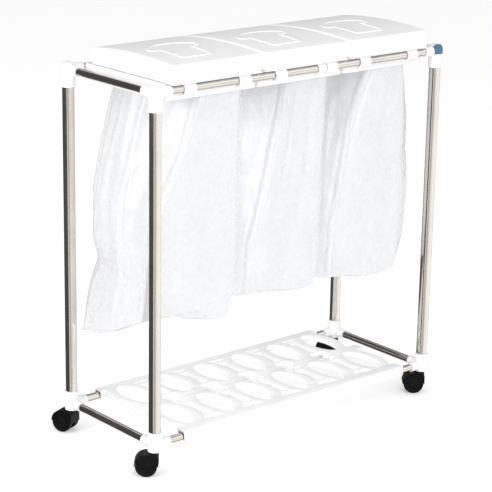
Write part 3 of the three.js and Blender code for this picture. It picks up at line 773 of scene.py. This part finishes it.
def lid_shell(cx):
    v, f = [], []
    rings = []
    R = 8.6
    drop = lambda d: R - math.sqrt(max(0.0, R * R - (R - d) ** 2))
    def ring(inset, zf):
        p = plan(cx, inset)
        rings.append(len(v))
        v.extend([(x, y, zf(y)) for x, y in p])
        return len(p)
    # outside, from the bottom edge up and over to the middle
    n = ring(1.0, lambda y: LID_Z0)
    ring(0.25, lambda y: LID_Z0 + 0.25)
    ring(0.0, lambda y: LID_Z0 + 1.0)
    ring(0.0, lambda y: LID_Z0 + 10)
    ring(0.0, lambda y: roof(y) - R - 1)
    for k in range(9):
        d = R * (1 - math.cos(math.pi / 2 * k / 8))
        ring(d, lambda y, d=d: roof(y) - drop(d))
    for d in (12, 18, 26, 36, 48, 62, 76, 90, 102, 110):
        ring(d, lambda y: roof(y))
    last_out = rings[-1]
    # inside, from the middle back down
    T = 2.4
    split = len(rings)
    for d in (110, 102, 90, 76, 62, 48, 36, 26, 18, 12):
        ring(d, lambda y: roof(y) - T)
    for k in range(6, -1, -1):
        rr = R - T
        dd = rr * (1 - math.cos(math.pi / 2 * k / 6))
        ring(T + dd, lambda y, dd=dd, rr=rr: roof(y) - T - (rr - math.sqrt(max(0.0, rr * rr - (rr - dd) ** 2))))
    ring(T, lambda y: LID_Z0 + 0.8)
    ring(T - 0.6, lambda y: LID_Z0)
    for k in range(len(rings)):
        a = rings[k]
        if k == split - 1:
            continue
        b = rings[(k + 1) % len(rings)]
        for i in range(n):
            j = (i + 1) % n
            f.append([a + i, a + j, b + j, b + i])
    # close the two middles: a narrow slot along Y, filled between its two long sides
    for base, flipq in ((last_out, False), (rings[split], True)):
        f.append([base + i for i in range(n)] if not flipq else [base + i for i in range(n)][::-1])
    return v, f


def ribbon(path, cx, width, high, z_of):
    """A raised line with rounded edges that follows a closed path on the roof."""
    p = np.array(path)
    n = len(p)
    tan = np.roll(p, -1, 0) - np.roll(p, 1, 0)
    tan /= np.linalg.norm(tan, axis=1, keepdims=True)
    nor = np.stack([tan[:, 1], -tan[:, 0]], 1)
    w = width / 2
    prof = [(-w - 0.5, -0.6), (-w, 0.15), (-w * 0.86, 0.62 * high), (-w * 0.68, 0.92 * high), (-w * 0.35, high), (w * 0.35, high), (w * 0.68, 0.92 * high), (w * 0.86, 0.62 * high), (w, 0.15), (w + 0.5, -0.6)]
    v, f = [], []
    for i in range(n):
        for o, h in prof:
            x, y = p[i] + nor[i] * o
            v.append((float(x), float(y), z_of(float(y)) + h))
    m = len(prof)
    for i in range(n):
        j = (i + 1) % n
        for k in range(m):
            q = (k + 1) % m
            f.append([i * m + k, j * m + k, j * m + q, i * m + q])
    return v, f


def shirt_path():
    """Generic top on a hanger, drawn in one closed line, from the lid's middle."""
    key = [(-55.5, 38), (-52, 45), (-52, 80), (-51, 113), (-57, 115), (-69, 110.5), (-73, 116), (-71, 129), (-63, 143), (-52, 153), (-40, 161), (-30.5, 166), (-14, 168), (8, 167), (24, 163), (36, 157), (47, 149), (54.5, 140),
           (56, 129), (52, 121), (40, 117.5), (32, 118), (28, 112), (26.5, 95), (22.5, 50), (20, 39.5), (14, 38)]
    rounded = fillet_outline(key, 9, 6)
    p = np.array(rounded)
    # even spacing
    seg = np.linalg.norm(np.roll(p, -1, 0) - p, axis=1)
    s = np.concatenate([[0], np.cumsum(seg)])
    q = np.vstack([p, p[:1]])
    t = np.linspace(0, s[-1], 220, endpoint=False)
    e = np.stack([np.interp(t, s, q[:, 0]), np.interp(t, s, q[:, 1])], 1)
    for _ in range(3):
        e = 0.5 * e + 0.25 * (np.roll(e, 1, 0) + np.roll(e, -1, 0))
    return e


SHIRT = shirt_path()
for idx, cx in enumerate(CENTRES, 1):
    parts = [lid_shell(cx)]
    for dx in (-65, 65):
        lug = [(262.5, 750), (HINGE_Y, HINGE_Z - 4.2), (HINGE_Y + 3, HINGE_Z - 3), (HINGE_Y + 4.2, HINGE_Z), (HINGE_Y + 3, HINGE_Z + 3), (HINGE_Y, HINGE_Z + 4.2), (264, HINGE_Z + 8), (262.5, HINGE_Z + 8)]
        parts.append(extrude_outline(fillet_outline(lug, 1.2, 4), cx + dx - 6, cx + dx + 6, "yz", 0.5, 2))
    v, f = merge(parts)
    o = mesh_object(f"lid_shell_{idx}", v, f, LID, True, 40)
    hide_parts(f"lid_{idx}")
    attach(o, f"lid_{idx}_body")
    v, f = ribbon([(cx + x, y) for x, y in SHIRT], cx, 8.0, 1.5, roof)
    r = mesh_object(f"lid_outline_{idx}", v, f, LID_LINE_PAINTED_HIGHLIGHT, True, 60)
    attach(r, f"lid_{idx}_body")


# ------------------------------------------------------------------ label
def label():
    # a thin sticker laid onto the moulded corner: it starts on the front arm and wraps round
    # towards the right, up onto the dome
    host = bpy.data.objects["connector_top_front_right"]
    tree = BVHTree.FromPolygons([host.matrix_world @ q.co for q in host.data.vertices], [list(q.vertices) for q in host.data.polygons])
    n, m = 40, 26
    x0, x1, z0, z1 = LENGTH - 15.5, LENGTH + 11.2, RISE - 6.0, RISE + 15.0
    grid = []
    for k in range(m + 1):
        z = z0 + (z1 - z0) * k / m
        row = []
        for i in range(n + 1):
            x = x0 + (x1 - x0) * i / n
            hit, normal, _, _ = tree.ray_cast(Vector(P(x, -60, z)), Vector((0, 1, 0)), 0.2)
            row.append((hit, normal))
        grid.append(row)
    # smooth the skin a little, as a sticker bridges the valley between the arm and the dome
    pts = np.array([[list(g[0]) if g[0] is not None else [np.nan] * 3 for g in row] for row in grid])
    for _ in range(6):
        q = np.pad(pts, ((1, 1), (1, 1), (0, 0)), mode="edge")
        mean = (q[:-2, 1:-1] + q[2:, 1:-1] + q[1:-1, :-2] + q[1:-1, 2:]) / 4
        y = pts[..., 1]
        ok = ~np.isnan(mean[..., 1])
        y[ok] = np.minimum(y[ok], mean[..., 1][ok])
    keep = ~np.isnan(pts[..., 1]) & (pts[..., 1] < (-OY - 4) / 1000)
    gy, gx = np.gradient(np.nan_to_num(pts[..., 1]), (z1 - z0) / m / 1000, (x1 - x0) / n / 1000)
    v, f, where = [], [], {}
    for k in range(m + 1):
        for i in range(n + 1):
            if keep[k, i]:
                d = Vector((gx[k, i], -1.0, gy[k, i])).normalized()
                if d.y > -0.2:
                    d = Vector((d.x, -0.2, d.z)).normalized()
                for lift in (0.00003, 0.00028):
                    where[k, i, lift] = len(v)
                    v.append(Vector(pts[k, i]) + d * lift)
    lo, hi = 0.00003, 0.00028
    edge = {}
    for k in range(m):
        for i in range(n):
            c = [(k, i), (k, i + 1), (k + 1, i + 1), (k + 1, i)]
            if all(keep[a] for a in c):
                f.append([where[a[0], a[1], hi] for a in c])
                f.append([where[a[0], a[1], lo] for a in reversed(c)])
                for a, b in zip(c, c[1:] + c[:1]):
                    edge[(b, a)] = 0 if (a, b) in edge else 1
                    if (a, b) in edge:
                        edge[(a, b)] = 0
    for (b, a), open_edge in edge.items():
        if open_edge:
            f.append([where[b[0], b[1], lo], where[a[0], a[1], lo], where[a[0], a[1], hi], where[b[0], b[1], hi]])
    me = bpy.data.meshes.new("label_patch")
    me.from_pydata(v, [], f)
    me.update()
    o = bpy.data.objects.new("label_patch", me)
    bpy.context.scene.collection.objects.link(o)
    tidy(o)
    me.materials.append(BLUE)
    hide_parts("label")
    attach(o, "frame")


label()


# ------------------------------------------------------------------ film bags
BAGS = {
    1: [
        [(-12, 16, 744), (80, 15.5, 744), (112, 45, 744), (112, 225, 744), (72, 280, 744), (-34, 280, 744), (-62, 246, 744), (-88, 150, 744)],
        [(-24, 16, 700), (78, 16, 700), (113, 48, 700), (113, 225, 700), (72, 280, 700), (-40, 280, 700), (-74, 246, 700), (-98, 150, 700)],
        [(-61, 16, 600), (76, 16, 600), (112, 50, 600), (112, 225, 600), (72, 284, 600), (-74, 283, 600), (-112, 240, 600), (-122, 150, 600)],
        [(-121, 18, 480), (74, 16, 480), (110, 50, 480), (110, 225, 480), (70, 285, 480), (-98, 284, 480), (-134, 240, 480), (-150, 150, 480)],
        [(-150, 22, 380), (71, 16, 380), (106, 50, 380), (105, 225, 380), (66, 286, 380), (-102, 284, 380), (-134, 240, 380), (-156, 140, 380)],
        [(-152, 28, 330), (70, 15, 330), (103, 50, 330), (102, 225, 330), (66, 286, 330), (-96, 285, 330), (-128, 240, 330), (-154, 140, 330)],
        [(-156, 30, 280), (68, 14, 280), (100, 50, 280), (100, 225, 280), (66, 286, 280), (-110, 285, 280), (-142, 240, 280), (-158, 140, 280)],
        [(-157, 34, 258), (64, 16, 256), (88, 60, 250), (88, 215, 225), (60, 280, 205), (-122, 282, 180), (-154, 236, 193), (-160, 140, 212)],
    ],
    2: [
        [(-22, 16, 744), (80, 15.5, 744), (112, 45, 744), (112, 225, 744), (72, 280, 744), (-34, 280, 744), (-62, 246, 744), (-88, 150, 744)],
        [(-31, 16, 700), (78, 16, 700), (113, 48, 700), (113, 225, 700), (72, 280, 700), (-36, 280, 700), (-66, 246, 700), (-98, 150, 700)],
        [(-53, 16, 600), (76, 16, 600), (112, 50, 600), (112, 225, 600), (72, 284, 600), (-60, 280, 600), (-100, 246, 600), (-119, 160, 600)],
        [(-83, 16, 480), (74, 16, 480), (110, 50, 480), (110, 225, 480), (70, 285, 480), (-78, 282, 480), (-116, 240, 480), (-121, 150, 480)],
        [(-118, 18, 380), (71, 16, 380), (106, 50, 380), (105, 225, 380), (66, 286, 380), (-84, 284, 380), (-119, 240, 380), (-125, 145, 380)],
        [(-120, 22, 330), (70, 15, 330), (103, 50, 330), (102, 225, 330), (66, 286, 330), (-84, 285, 330), (-120, 240, 330), (-127, 140, 330)],
        [(-121, 26, 280), (68, 14, 280), (100, 50, 280), (100, 225, 280), (66, 286, 280), (-84, 286, 280), (-122, 240, 280), (-129, 140, 280)],
        [(-121, 30, 262), (64, 16, 256), (88, 60, 250), (88, 215, 225), (60, 280, 212), (-70, 282, 210), (-118, 236, 212), (-128, 140, 230)],
    ],
    3: [
        [(-22, 16, 744), (80, 15.5, 744), (112, 45, 744), (112, 225, 744), (72, 280, 744), (-34, 280, 744), (-62, 246, 744), (-88, 150, 744)],
        [(-33, 16, 700), (78, 16, 700), (113, 48, 700), (113, 225, 700), (72, 280, 700), (-36, 280, 700), (-66, 246, 700), (-98, 150, 700)],
        [(-76, 16, 600), (76, 16, 600), (112, 50, 600), (112, 225, 600), (72, 284, 600), (-60, 280, 600), (-100, 246, 600), (-119, 160, 600)],
        [(-104, 16, 480), (74, 16, 480), (110, 50, 480), (110, 225, 480), (70, 285, 480), (-78, 282, 480), (-116, 240, 480), (-121, 150, 480)],
        [(-120, 20, 380), (71, 16, 380), (106, 50, 380), (105, 225, 380), (66, 286, 380), (-84, 284, 380), (-119, 240, 380), (-125, 145, 380)],
        [(-120, 22, 330), (70, 15, 330), (103, 50, 330), (102, 225, 330), (66, 286, 330), (-84, 285, 330), (-120, 240, 330), (-127, 140, 330)],
        [(-121, 26, 280), (68, 14, 280), (100, 50, 280), (100, 225, 280), (66, 286, 280), (-84, 286, 280), (-122, 240, 280), (-129, 140, 280)],
        [(-121, 30, 262), (64, 16, 256), (88, 60, 250), (88, 215, 225), (60, 280, 212), (-70, 282, 210), (-118, 236, 212), (-128, 140, 230)],
    ],
}


# how far the loose film stands off the sections: level, corner, dx, dz and sometimes dy
PUFF = {
    1: [(7, 5, -12, -7), (7, 6, -12, -7), (7, 7, -8, -5), (5, 6, 8, 0), (5, 5, 8, 0), (5, 7, 6, 0)],
    3: [(0, 1, -12, 0), (0, 2, -16, 0), (0, 3, -10, 0), (1, 1, -8, 0), (1, 2, -12, 0), (1, 3, -8, 0), (2, 2, 4, 0, -3), (2, 3, 6, 0),
        (3, 1, 4, 0), (3, 2, 13, 0, -8), (3, 3, 12, 0), (4, 1, 7, 0), (4, 2, 16, 0, -11), (4, 3, 12, 0), (5, 1, 8, 0), (5, 2, 16, 0, -11), (5, 3, 10, 0),
        (6, 1, 4, -4), (6, 2, 11, -4, -6), (6, 3, 8, -4), (7, 0, 2, -8), (7, 1, 4, -11), (7, 2, 8, -10), (7, 3, 8, -9)],
}
# where the bottom edge droops at the front: x from the holder's middle, half length, depth
DROOP = {1: (28, 34, 26), 2: (18, 40, 7), 3: (-2, 60, 6)}


def ridge(p, scale, seed, octaves=2):
    """0 in the creases, 1 between them: thin sharp folds as in crumpled film."""
    out, amp, tot = 0.0, 1.0, 0.0
    for k in range(octaves):
        q = Vector((p[0] * scale + seed * 3.7, p[1] * scale + seed * 1.3, p[2] * scale * 0.62 - seed))
        out += amp * abs(noise.noise(q))
        tot += amp
        amp *= 0.5
        scale *= 2.1
    return out / tot


def bag(idx, cx):
    NA, ND = 330, 230
    rng = np.random.default_rng(40 + idx)
    # eight corners' paths from the mouth to the bottom, by the share of the way down
    paths = np.array(BAGS[idx], float)
    for k, corner, dx, dz, *dy in PUFF.get(idx, []):
        paths[k, corner] += (dx, dy[0] if dy else 0, dz)
    last = len(paths) - 1
    down = np.cumsum(np.concatenate([[0], np.linalg.norm(paths[1:] - paths[:-1], axis=2).mean(1)]))
    share = list(down / down[-1])
    def at(s):
        i = max(0, min(last - 1, int(np.searchsorted(share, s)) - 1))
        h = share[i + 1] - share[i]
        t = (s - share[i]) / h
        def sl(k):
            if k == 0:
                return (paths[1] - paths[0]) / (share[1] - share[0])
            if k == last:
                return (paths[last] - paths[last - 1]) / (share[last] - share[last - 1])
            return (paths[k + 1] - paths[k - 1]) / (share[k + 1] - share[k - 1])
        lin = paths[i] + (paths[i + 1] - paths[i]) * t
        cub = (2 * t ** 3 - 3 * t * t + 1) * paths[i] + (t ** 3 - 2 * t * t + t) * h * sl(i) + (3 * t * t - 2 * t ** 3) * paths[i + 1] + (t ** 3 - t * t) * h * sl(i + 1)
        return 0.5 * lin + 0.5 * cub
    # the same share of points on each edge at every level
    mean = paths.mean(0)
    elen = np.linalg.norm(np.roll(mean, -1, 0) - mean, axis=1)
    cnt = np.maximum(8, np.round(NA * elen / elen.sum())).astype(int)
    n = int(cnt.sum())
    rows = []
    for r in range(ND + 1):
        s = r / ND
        c = at(s)
        pts = []
        for e in range(8):
            a, b = c[e], c[(e + 1) % 8]
            t = (np.arange(cnt[e]) / cnt[e])[:, None]
            pts.append(a + (b - a) * t)
        ring = np.vstack(pts)
        for _ in range(5 + int(9 * s)):
            ring = 0.5 * ring + 0.25 * (np.roll(ring, 1, 0) + np.roll(ring, -1, 0))
        rows.append(ring)
    G = np.array(rows)                       # (ND+1, n, 3)
    G[:, :, 0] += cx
    # outward normals in plan
    T = np.roll(G, -1, 1) - np.roll(G, 1, 1)
    N = np.stack([T[:, :, 1], -T[:, :, 0], np.zeros(T.shape[:2])], 2)
    N /= np.linalg.norm(N, axis=2, keepdims=True) + 1e-9
    u = np.linspace(0, 1, n, endpoint=False)
    disp = np.zeros(G.shape[:2])
    S = np.linspace(0, 1, ND + 1)[:, None]
    # long soft drape folds that start at the mouth and wander
    for k in range(22):
        c0, wd = rng.random(), 0.006 + 0.016 * rng.random()
        drift = (rng.random() - 0.5) * 0.10
        amp = (1.4 + 2.6 * rng.random()) * (1 if rng.random() < 0.35 else -1)
        s0, s1 = rng.random() * 0.35, 0.45 + rng.random() * 0.55
        if rng.random() < 0.5:
            s0 = 0.0
        c = c0 + drift * S + 0.006 * np.sin(6 * S + 6 * rng.random())
        d = np.abs((u[None, :] - c + 0.5) % 1.0 - 0.5)
        env = np.clip((S - s0 + 0.05) / 0.08, 0, 1) * np.clip((s1 - S) / 0.25, 0, 1)
        disp += amp * env * np.exp(-(d / wd) ** 2)
    G2 = G.copy()
    for r in range(ND + 1):
        s = r / ND
        env = 0.25 + 0.75 * min(1.0, s * 4)
        for i in range(n):
            p = G[r, i] * 0.001
            q = (p[0], p[1], p[2])
            big = ridge(q, 9.0, idx + 0.3, 2)
            mid = ridge(q, 26.0, idx + 7.1, 2)
            disp[r, i] += env * (-4.6 + 8.5 * big + 1.7 * mid - 0.8)
    # the fold that runs down corner 0: a raised line with a shallow valley beside it
    arc = np.concatenate([np.zeros((ND + 1, 1)), np.cumsum(np.linalg.norm(np.roll(G, -1, 1) - G, axis=2), axis=1)], 1)
    tot = arc[:, -1:]
    d0 = arc[:, :-1]
    d0 = np.where(d0 > tot / 2, d0 - tot, d0)
    step = lambda x, w: 1 / (1 + np.exp(-np.clip(x / w, -30, 30)))
    fold = 3.0 * step(d0 + 17, 1.8) * step(1.5 - d0, 1.4) - 1.0 * np.exp(-((d0 + 23) / 5.0) ** 2) - 0.9 * np.exp(-((d0 - 9) / 5.0) ** 2)
    disp += fold * np.clip(S / 0.05, 0, 1) * np.clip((1.04 - S) / 0.1, 0, 1)
    disp = np.clip(disp, -10.0, 2.6)
    disp[:2] *= 0.3
    G2 = G + N * disp[:, :, None]
    # the sealed edge hangs a little lower in places
    low = np.clip((S - 0.9) / 0.1, 0, 1) ** 1.5
    xr = G[ND, :, 0] - cx
    front = np.clip((70 - G[ND, :, 1]) / 40, 0, 1)
    sag = DROOP[idx][2] * front * np.exp(-(((xr - DROOP[idx][0]) / DROOP[idx][1]) ** 4))
    rip = np.array([3.2 * noise.noise(Vector((x * 0.03, y * 0.03, idx * 5.1))) + 2.0 * noise.noise(Vector((x * 0.09, y * 0.09, idx * 2.7))) for x, y in G[ND, :, :2]])
    G2[:, :, 2] -= low * (sag + rip)[None, :]
    # bottom: the film gathers in rings towards one point under the bag's middle
    rows2 = [G2[r] for r in range(ND + 1)]
    end = G2[ND]
    mid_line = end.copy()
    cxx, cyy = end[:, 0].mean(), end[:, 1].mean()
    zmid = float(end[:, 2].mean()) + 4
    for k, t in enumerate((0.06, 0.14, 0.24, 0.36, 0.5, 0.64, 0.78, 0.9)):
        ring = end.copy()
        ring[:, 0] = end[:, 0] + (cxx - end[:, 0]) * t
        ring[:, 1] = end[:, 1] + (cyy - end[:, 1]) * t
        plane = end[:, 2] * (1 - t) + zmid * t
        ring[:, 2] = plane - 7 * math.sin(math.pi * min(1, t * 1.1)) + 3.0 * np.array([ridge((x * 0.001, y * 0.001, 0.1 * k), 14.0, idx + 2.2) for x, y in ring[:, :2]]) - 1.5
        rows2.append(ring)
    v = [tuple(map(float, p)) for ring in rows2 for p in ring]
    f = []
    for r in range(len(rows2) - 1):
        for i in range(n):
            j = (i + 1) % n
            f.append([r * n + i, (r + 1) * n + i, (r + 1) * n + j, r * n + j])
    L = (len(rows2) - 1) * n
    v.append((float(cxx), float(cyy), zmid - 2.0))
    for i in range(n):
        f.append([L + i, len(v) - 1, L + (i + 1) % n])
    o = mesh_object(f"film_bag_{idx}", v, f, FILM, True, 180)
    bm = bmesh.new()
    bm.from_mesh(o.data)
    area = sum(x.calc_area() for x in bm.faces)
    bm.free()
    print(f"film_bag_{idx}: area {area:.4f} m2, ring points {n}")
    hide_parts(f"bag_{idx}")
    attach(o, "frame")
    o.visible_shadow = False
    return o


for idx, cx in enumerate(CENTRES, 1):
    bag(idx, cx)


# ------------------------------------------------------------------ stage and light
def floor():
    n = 40
    v, f = [], []
    s = 14.0
    me = bpy.data.meshes.new("floor")
    me.from_pydata([(-s, -s, -0.0005), (s, -s, -0.0005), (s, s, -0.0005), (-s, s, -0.0005)], [], [[0, 1, 2, 3]])
    o = bpy.data.objects.new("floor", me)
    bpy.context.scene.collection.objects.link(o)
    m = Nodes("floor")
    m.b.inputs["Base Color"].default_value = (0.88, 0.88, 0.88, 1)
    m.b.inputs["Emission Color"].default_value = (1, 1, 1, 1)
    m.b.inputs["Emission Strength"].default_value = 0.26
    m.b.inputs["Roughness"].default_value = 0.8
    m.b.inputs["Specular IOR Level"].default_value = 0.2
    me.materials.append(m.mat)
    o.visible_glossy = False


floor()


def area_light(name, loc, target, size, energy, color=(1, 1, 1), size_y=None, glossy=True):
    d = bpy.data.lights.new(name, "AREA")
    d.shape = "RECTANGLE"
    d.size, d.size_y = size, size_y or size
    d.energy = energy
    d.color = color
    o = bpy.data.objects.new(name, d)
    bpy.context.scene.collection.objects.link(o)
    o.location = loc
    o.rotation_euler = (Vector(target) - Vector(loc)).to_track_quat("-Z", "Y").to_euler()
    o.visible_glossy = glossy
    return o


area_light("key", (-3.4, 0.2, 1.5), (0, 0, 0.5), 1.6, 44, (1, 1, 1))
area_light("front", (-0.8, -3.6, 1.4), (0, 0, 0.45), 1.8, 32, (1, 0.998, 0.995))
area_light("over", (-0.6, -1.9, 2.3), (0, -0.1, 0.85), 0.9, 11, (1, 1, 1), glossy=False)

w = bpy.data.worlds.new("studio")
bpy.context.scene.world = w
w.use_nodes = True
nt = w.node_tree
nt.nodes.clear()
out = nt.nodes.new("ShaderNodeOutputWorld")
bg = nt.nodes.new("ShaderNodeBackground")
bg.inputs[0].default_value = (1, 1, 1, 1)
bg.inputs[1].default_value = 0.80
gl = nt.nodes.new("ShaderNodeBackground")
tc = nt.nodes.new("ShaderNodeTexCoord")
dot = nt.nodes.new("ShaderNodeVectorMath")
dot.operation = "DOT_PRODUCT"
dot.inputs[1].default_value = (0.7644, -0.6445, 0.0)
nt.links.new(tc.outputs["Generated"], dot.inputs[0])
half = nt.nodes.new("ShaderNodeMath")
half.operation = "MULTIPLY_ADD"
nt.links.new(dot.outputs["Value"], half.inputs[0])
half.inputs[1].default_value = 0.5
half.inputs[2].default_value = 0.5
ramp = nt.nodes.new("ShaderNodeValToRGB")
el = ramp.color_ramp.elements
stops = [(0.0, (0.085, 0.085, 0.085, 1)), (0.255, (0.06, 0.058, 0.056, 1)), (0.29, (0.8, 0.8, 0.8, 1)), (0.335, (1.25, 1.24, 1.22, 1)), (0.39, (0.55, 0.51, 0.45, 1)), (0.60, (0.62, 0.58, 0.52, 1)), (0.70, (1.1, 1.08, 1.05, 1)), (1.0, (1.25, 1.25, 1.25, 1))]
el[0].position, el[0].color = stops[0]
el[1].position, el[1].color = stops[-1]
for p, c in stops[1:-1]:
    e = el.new(p)
    e.color = c
nt.links.new(half.outputs[0], ramp.inputs[0])
def band(axis, stops):
    """A brightness that depends on the direction's share along one axis."""
    d = nt.nodes.new("ShaderNodeVectorMath")
    d.operation = "DOT_PRODUCT"
    d.inputs[1].default_value = axis
    nt.links.new(tc.outputs["Generated"], d.inputs[0])
    h = nt.nodes.new("ShaderNodeMath")
    h.operation = "MULTIPLY_ADD"
    h.inputs[1].default_value, h.inputs[2].default_value = 0.5, 0.5
    nt.links.new(d.outputs["Value"], h.inputs[0])
    r = nt.nodes.new("ShaderNodeValToRGB")
    e = r.color_ramp.elements
    e[0].position, e[0].color = (stops[0][0] + 1) / 2, stops[0][1]
    e[1].position, e[1].color = (stops[-1][0] + 1) / 2, stops[-1][1]
    for q, c in stops[1:-1]:
        k = e.new((q + 1) / 2)
        k.color = c
    nt.links.new(h.outputs[0], r.inputs[0])
    return r.outputs[0]


def times(a, b):
    m = nt.nodes.new("ShaderNodeVectorMath")
    m.operation = "MULTIPLY"
    nt.links.new(a, m.inputs[0])
    nt.links.new(b, m.inputs[1])
    return m.outputs[0]


TAN = lambda v: (v, v * 0.95, v * 0.86, 1)
heights = band((0, 0, 1), [(-1, TAN(0.5)), (-0.75, TAN(0.55)), (-0.5, grey(1.0)), (-0.2, grey(1.0)), (-0.1, TAN(0.72)), (0.15, TAN(0.72)), (0.28, grey(1.1)), (0.58, grey(1.1)), (0.68, TAN(0.5)), (1.0, TAN(0.5))])
depths = band((0.65, 0.76, 0), [(-1, grey(1.0)), (0.7, grey(1.0)), (0.86, grey(0.4)), (1.0, grey(0.28))])
nt.links.new(times(times(ramp.outputs[0], heights), depths), gl.inputs[0])
gl.inputs[1].default_value = 0.95
lp = nt.nodes.new("ShaderNodeLightPath")
mx = nt.nodes.new("ShaderNodeMixShader")
nt.links.new(lp.outputs["Is Glossy Ray"], mx.inputs[0])
nt.links.new(bg.outputs[0], mx.inputs[1])
nt.links.new(gl.outputs[0], mx.inputs[2])
cam_bg = nt.nodes.new("ShaderNodeBackground")
cam_bg.inputs[0].default_value = (1, 1, 1, 1)
cam_bg.inputs[1].default_value = 1.0
mx2 = nt.nodes.new("ShaderNodeMixShader")
nt.links.new(lp.outputs["Is Camera Ray"], mx2.inputs[0])
nt.links.new(mx.outputs[0], mx2.inputs[1])
nt.links.new(cam_bg.outputs[0], mx2.inputs[2])
nt.links.new(mx2.outputs[0], out.inputs[0])

try:
    bpy.context.scene.view_settings.view_transform = "Standard"
    bpy.context.scene.view_settings.look = "None"
    bpy.context.scene.view_settings.exposure = 0.0
except TypeError:
    pass
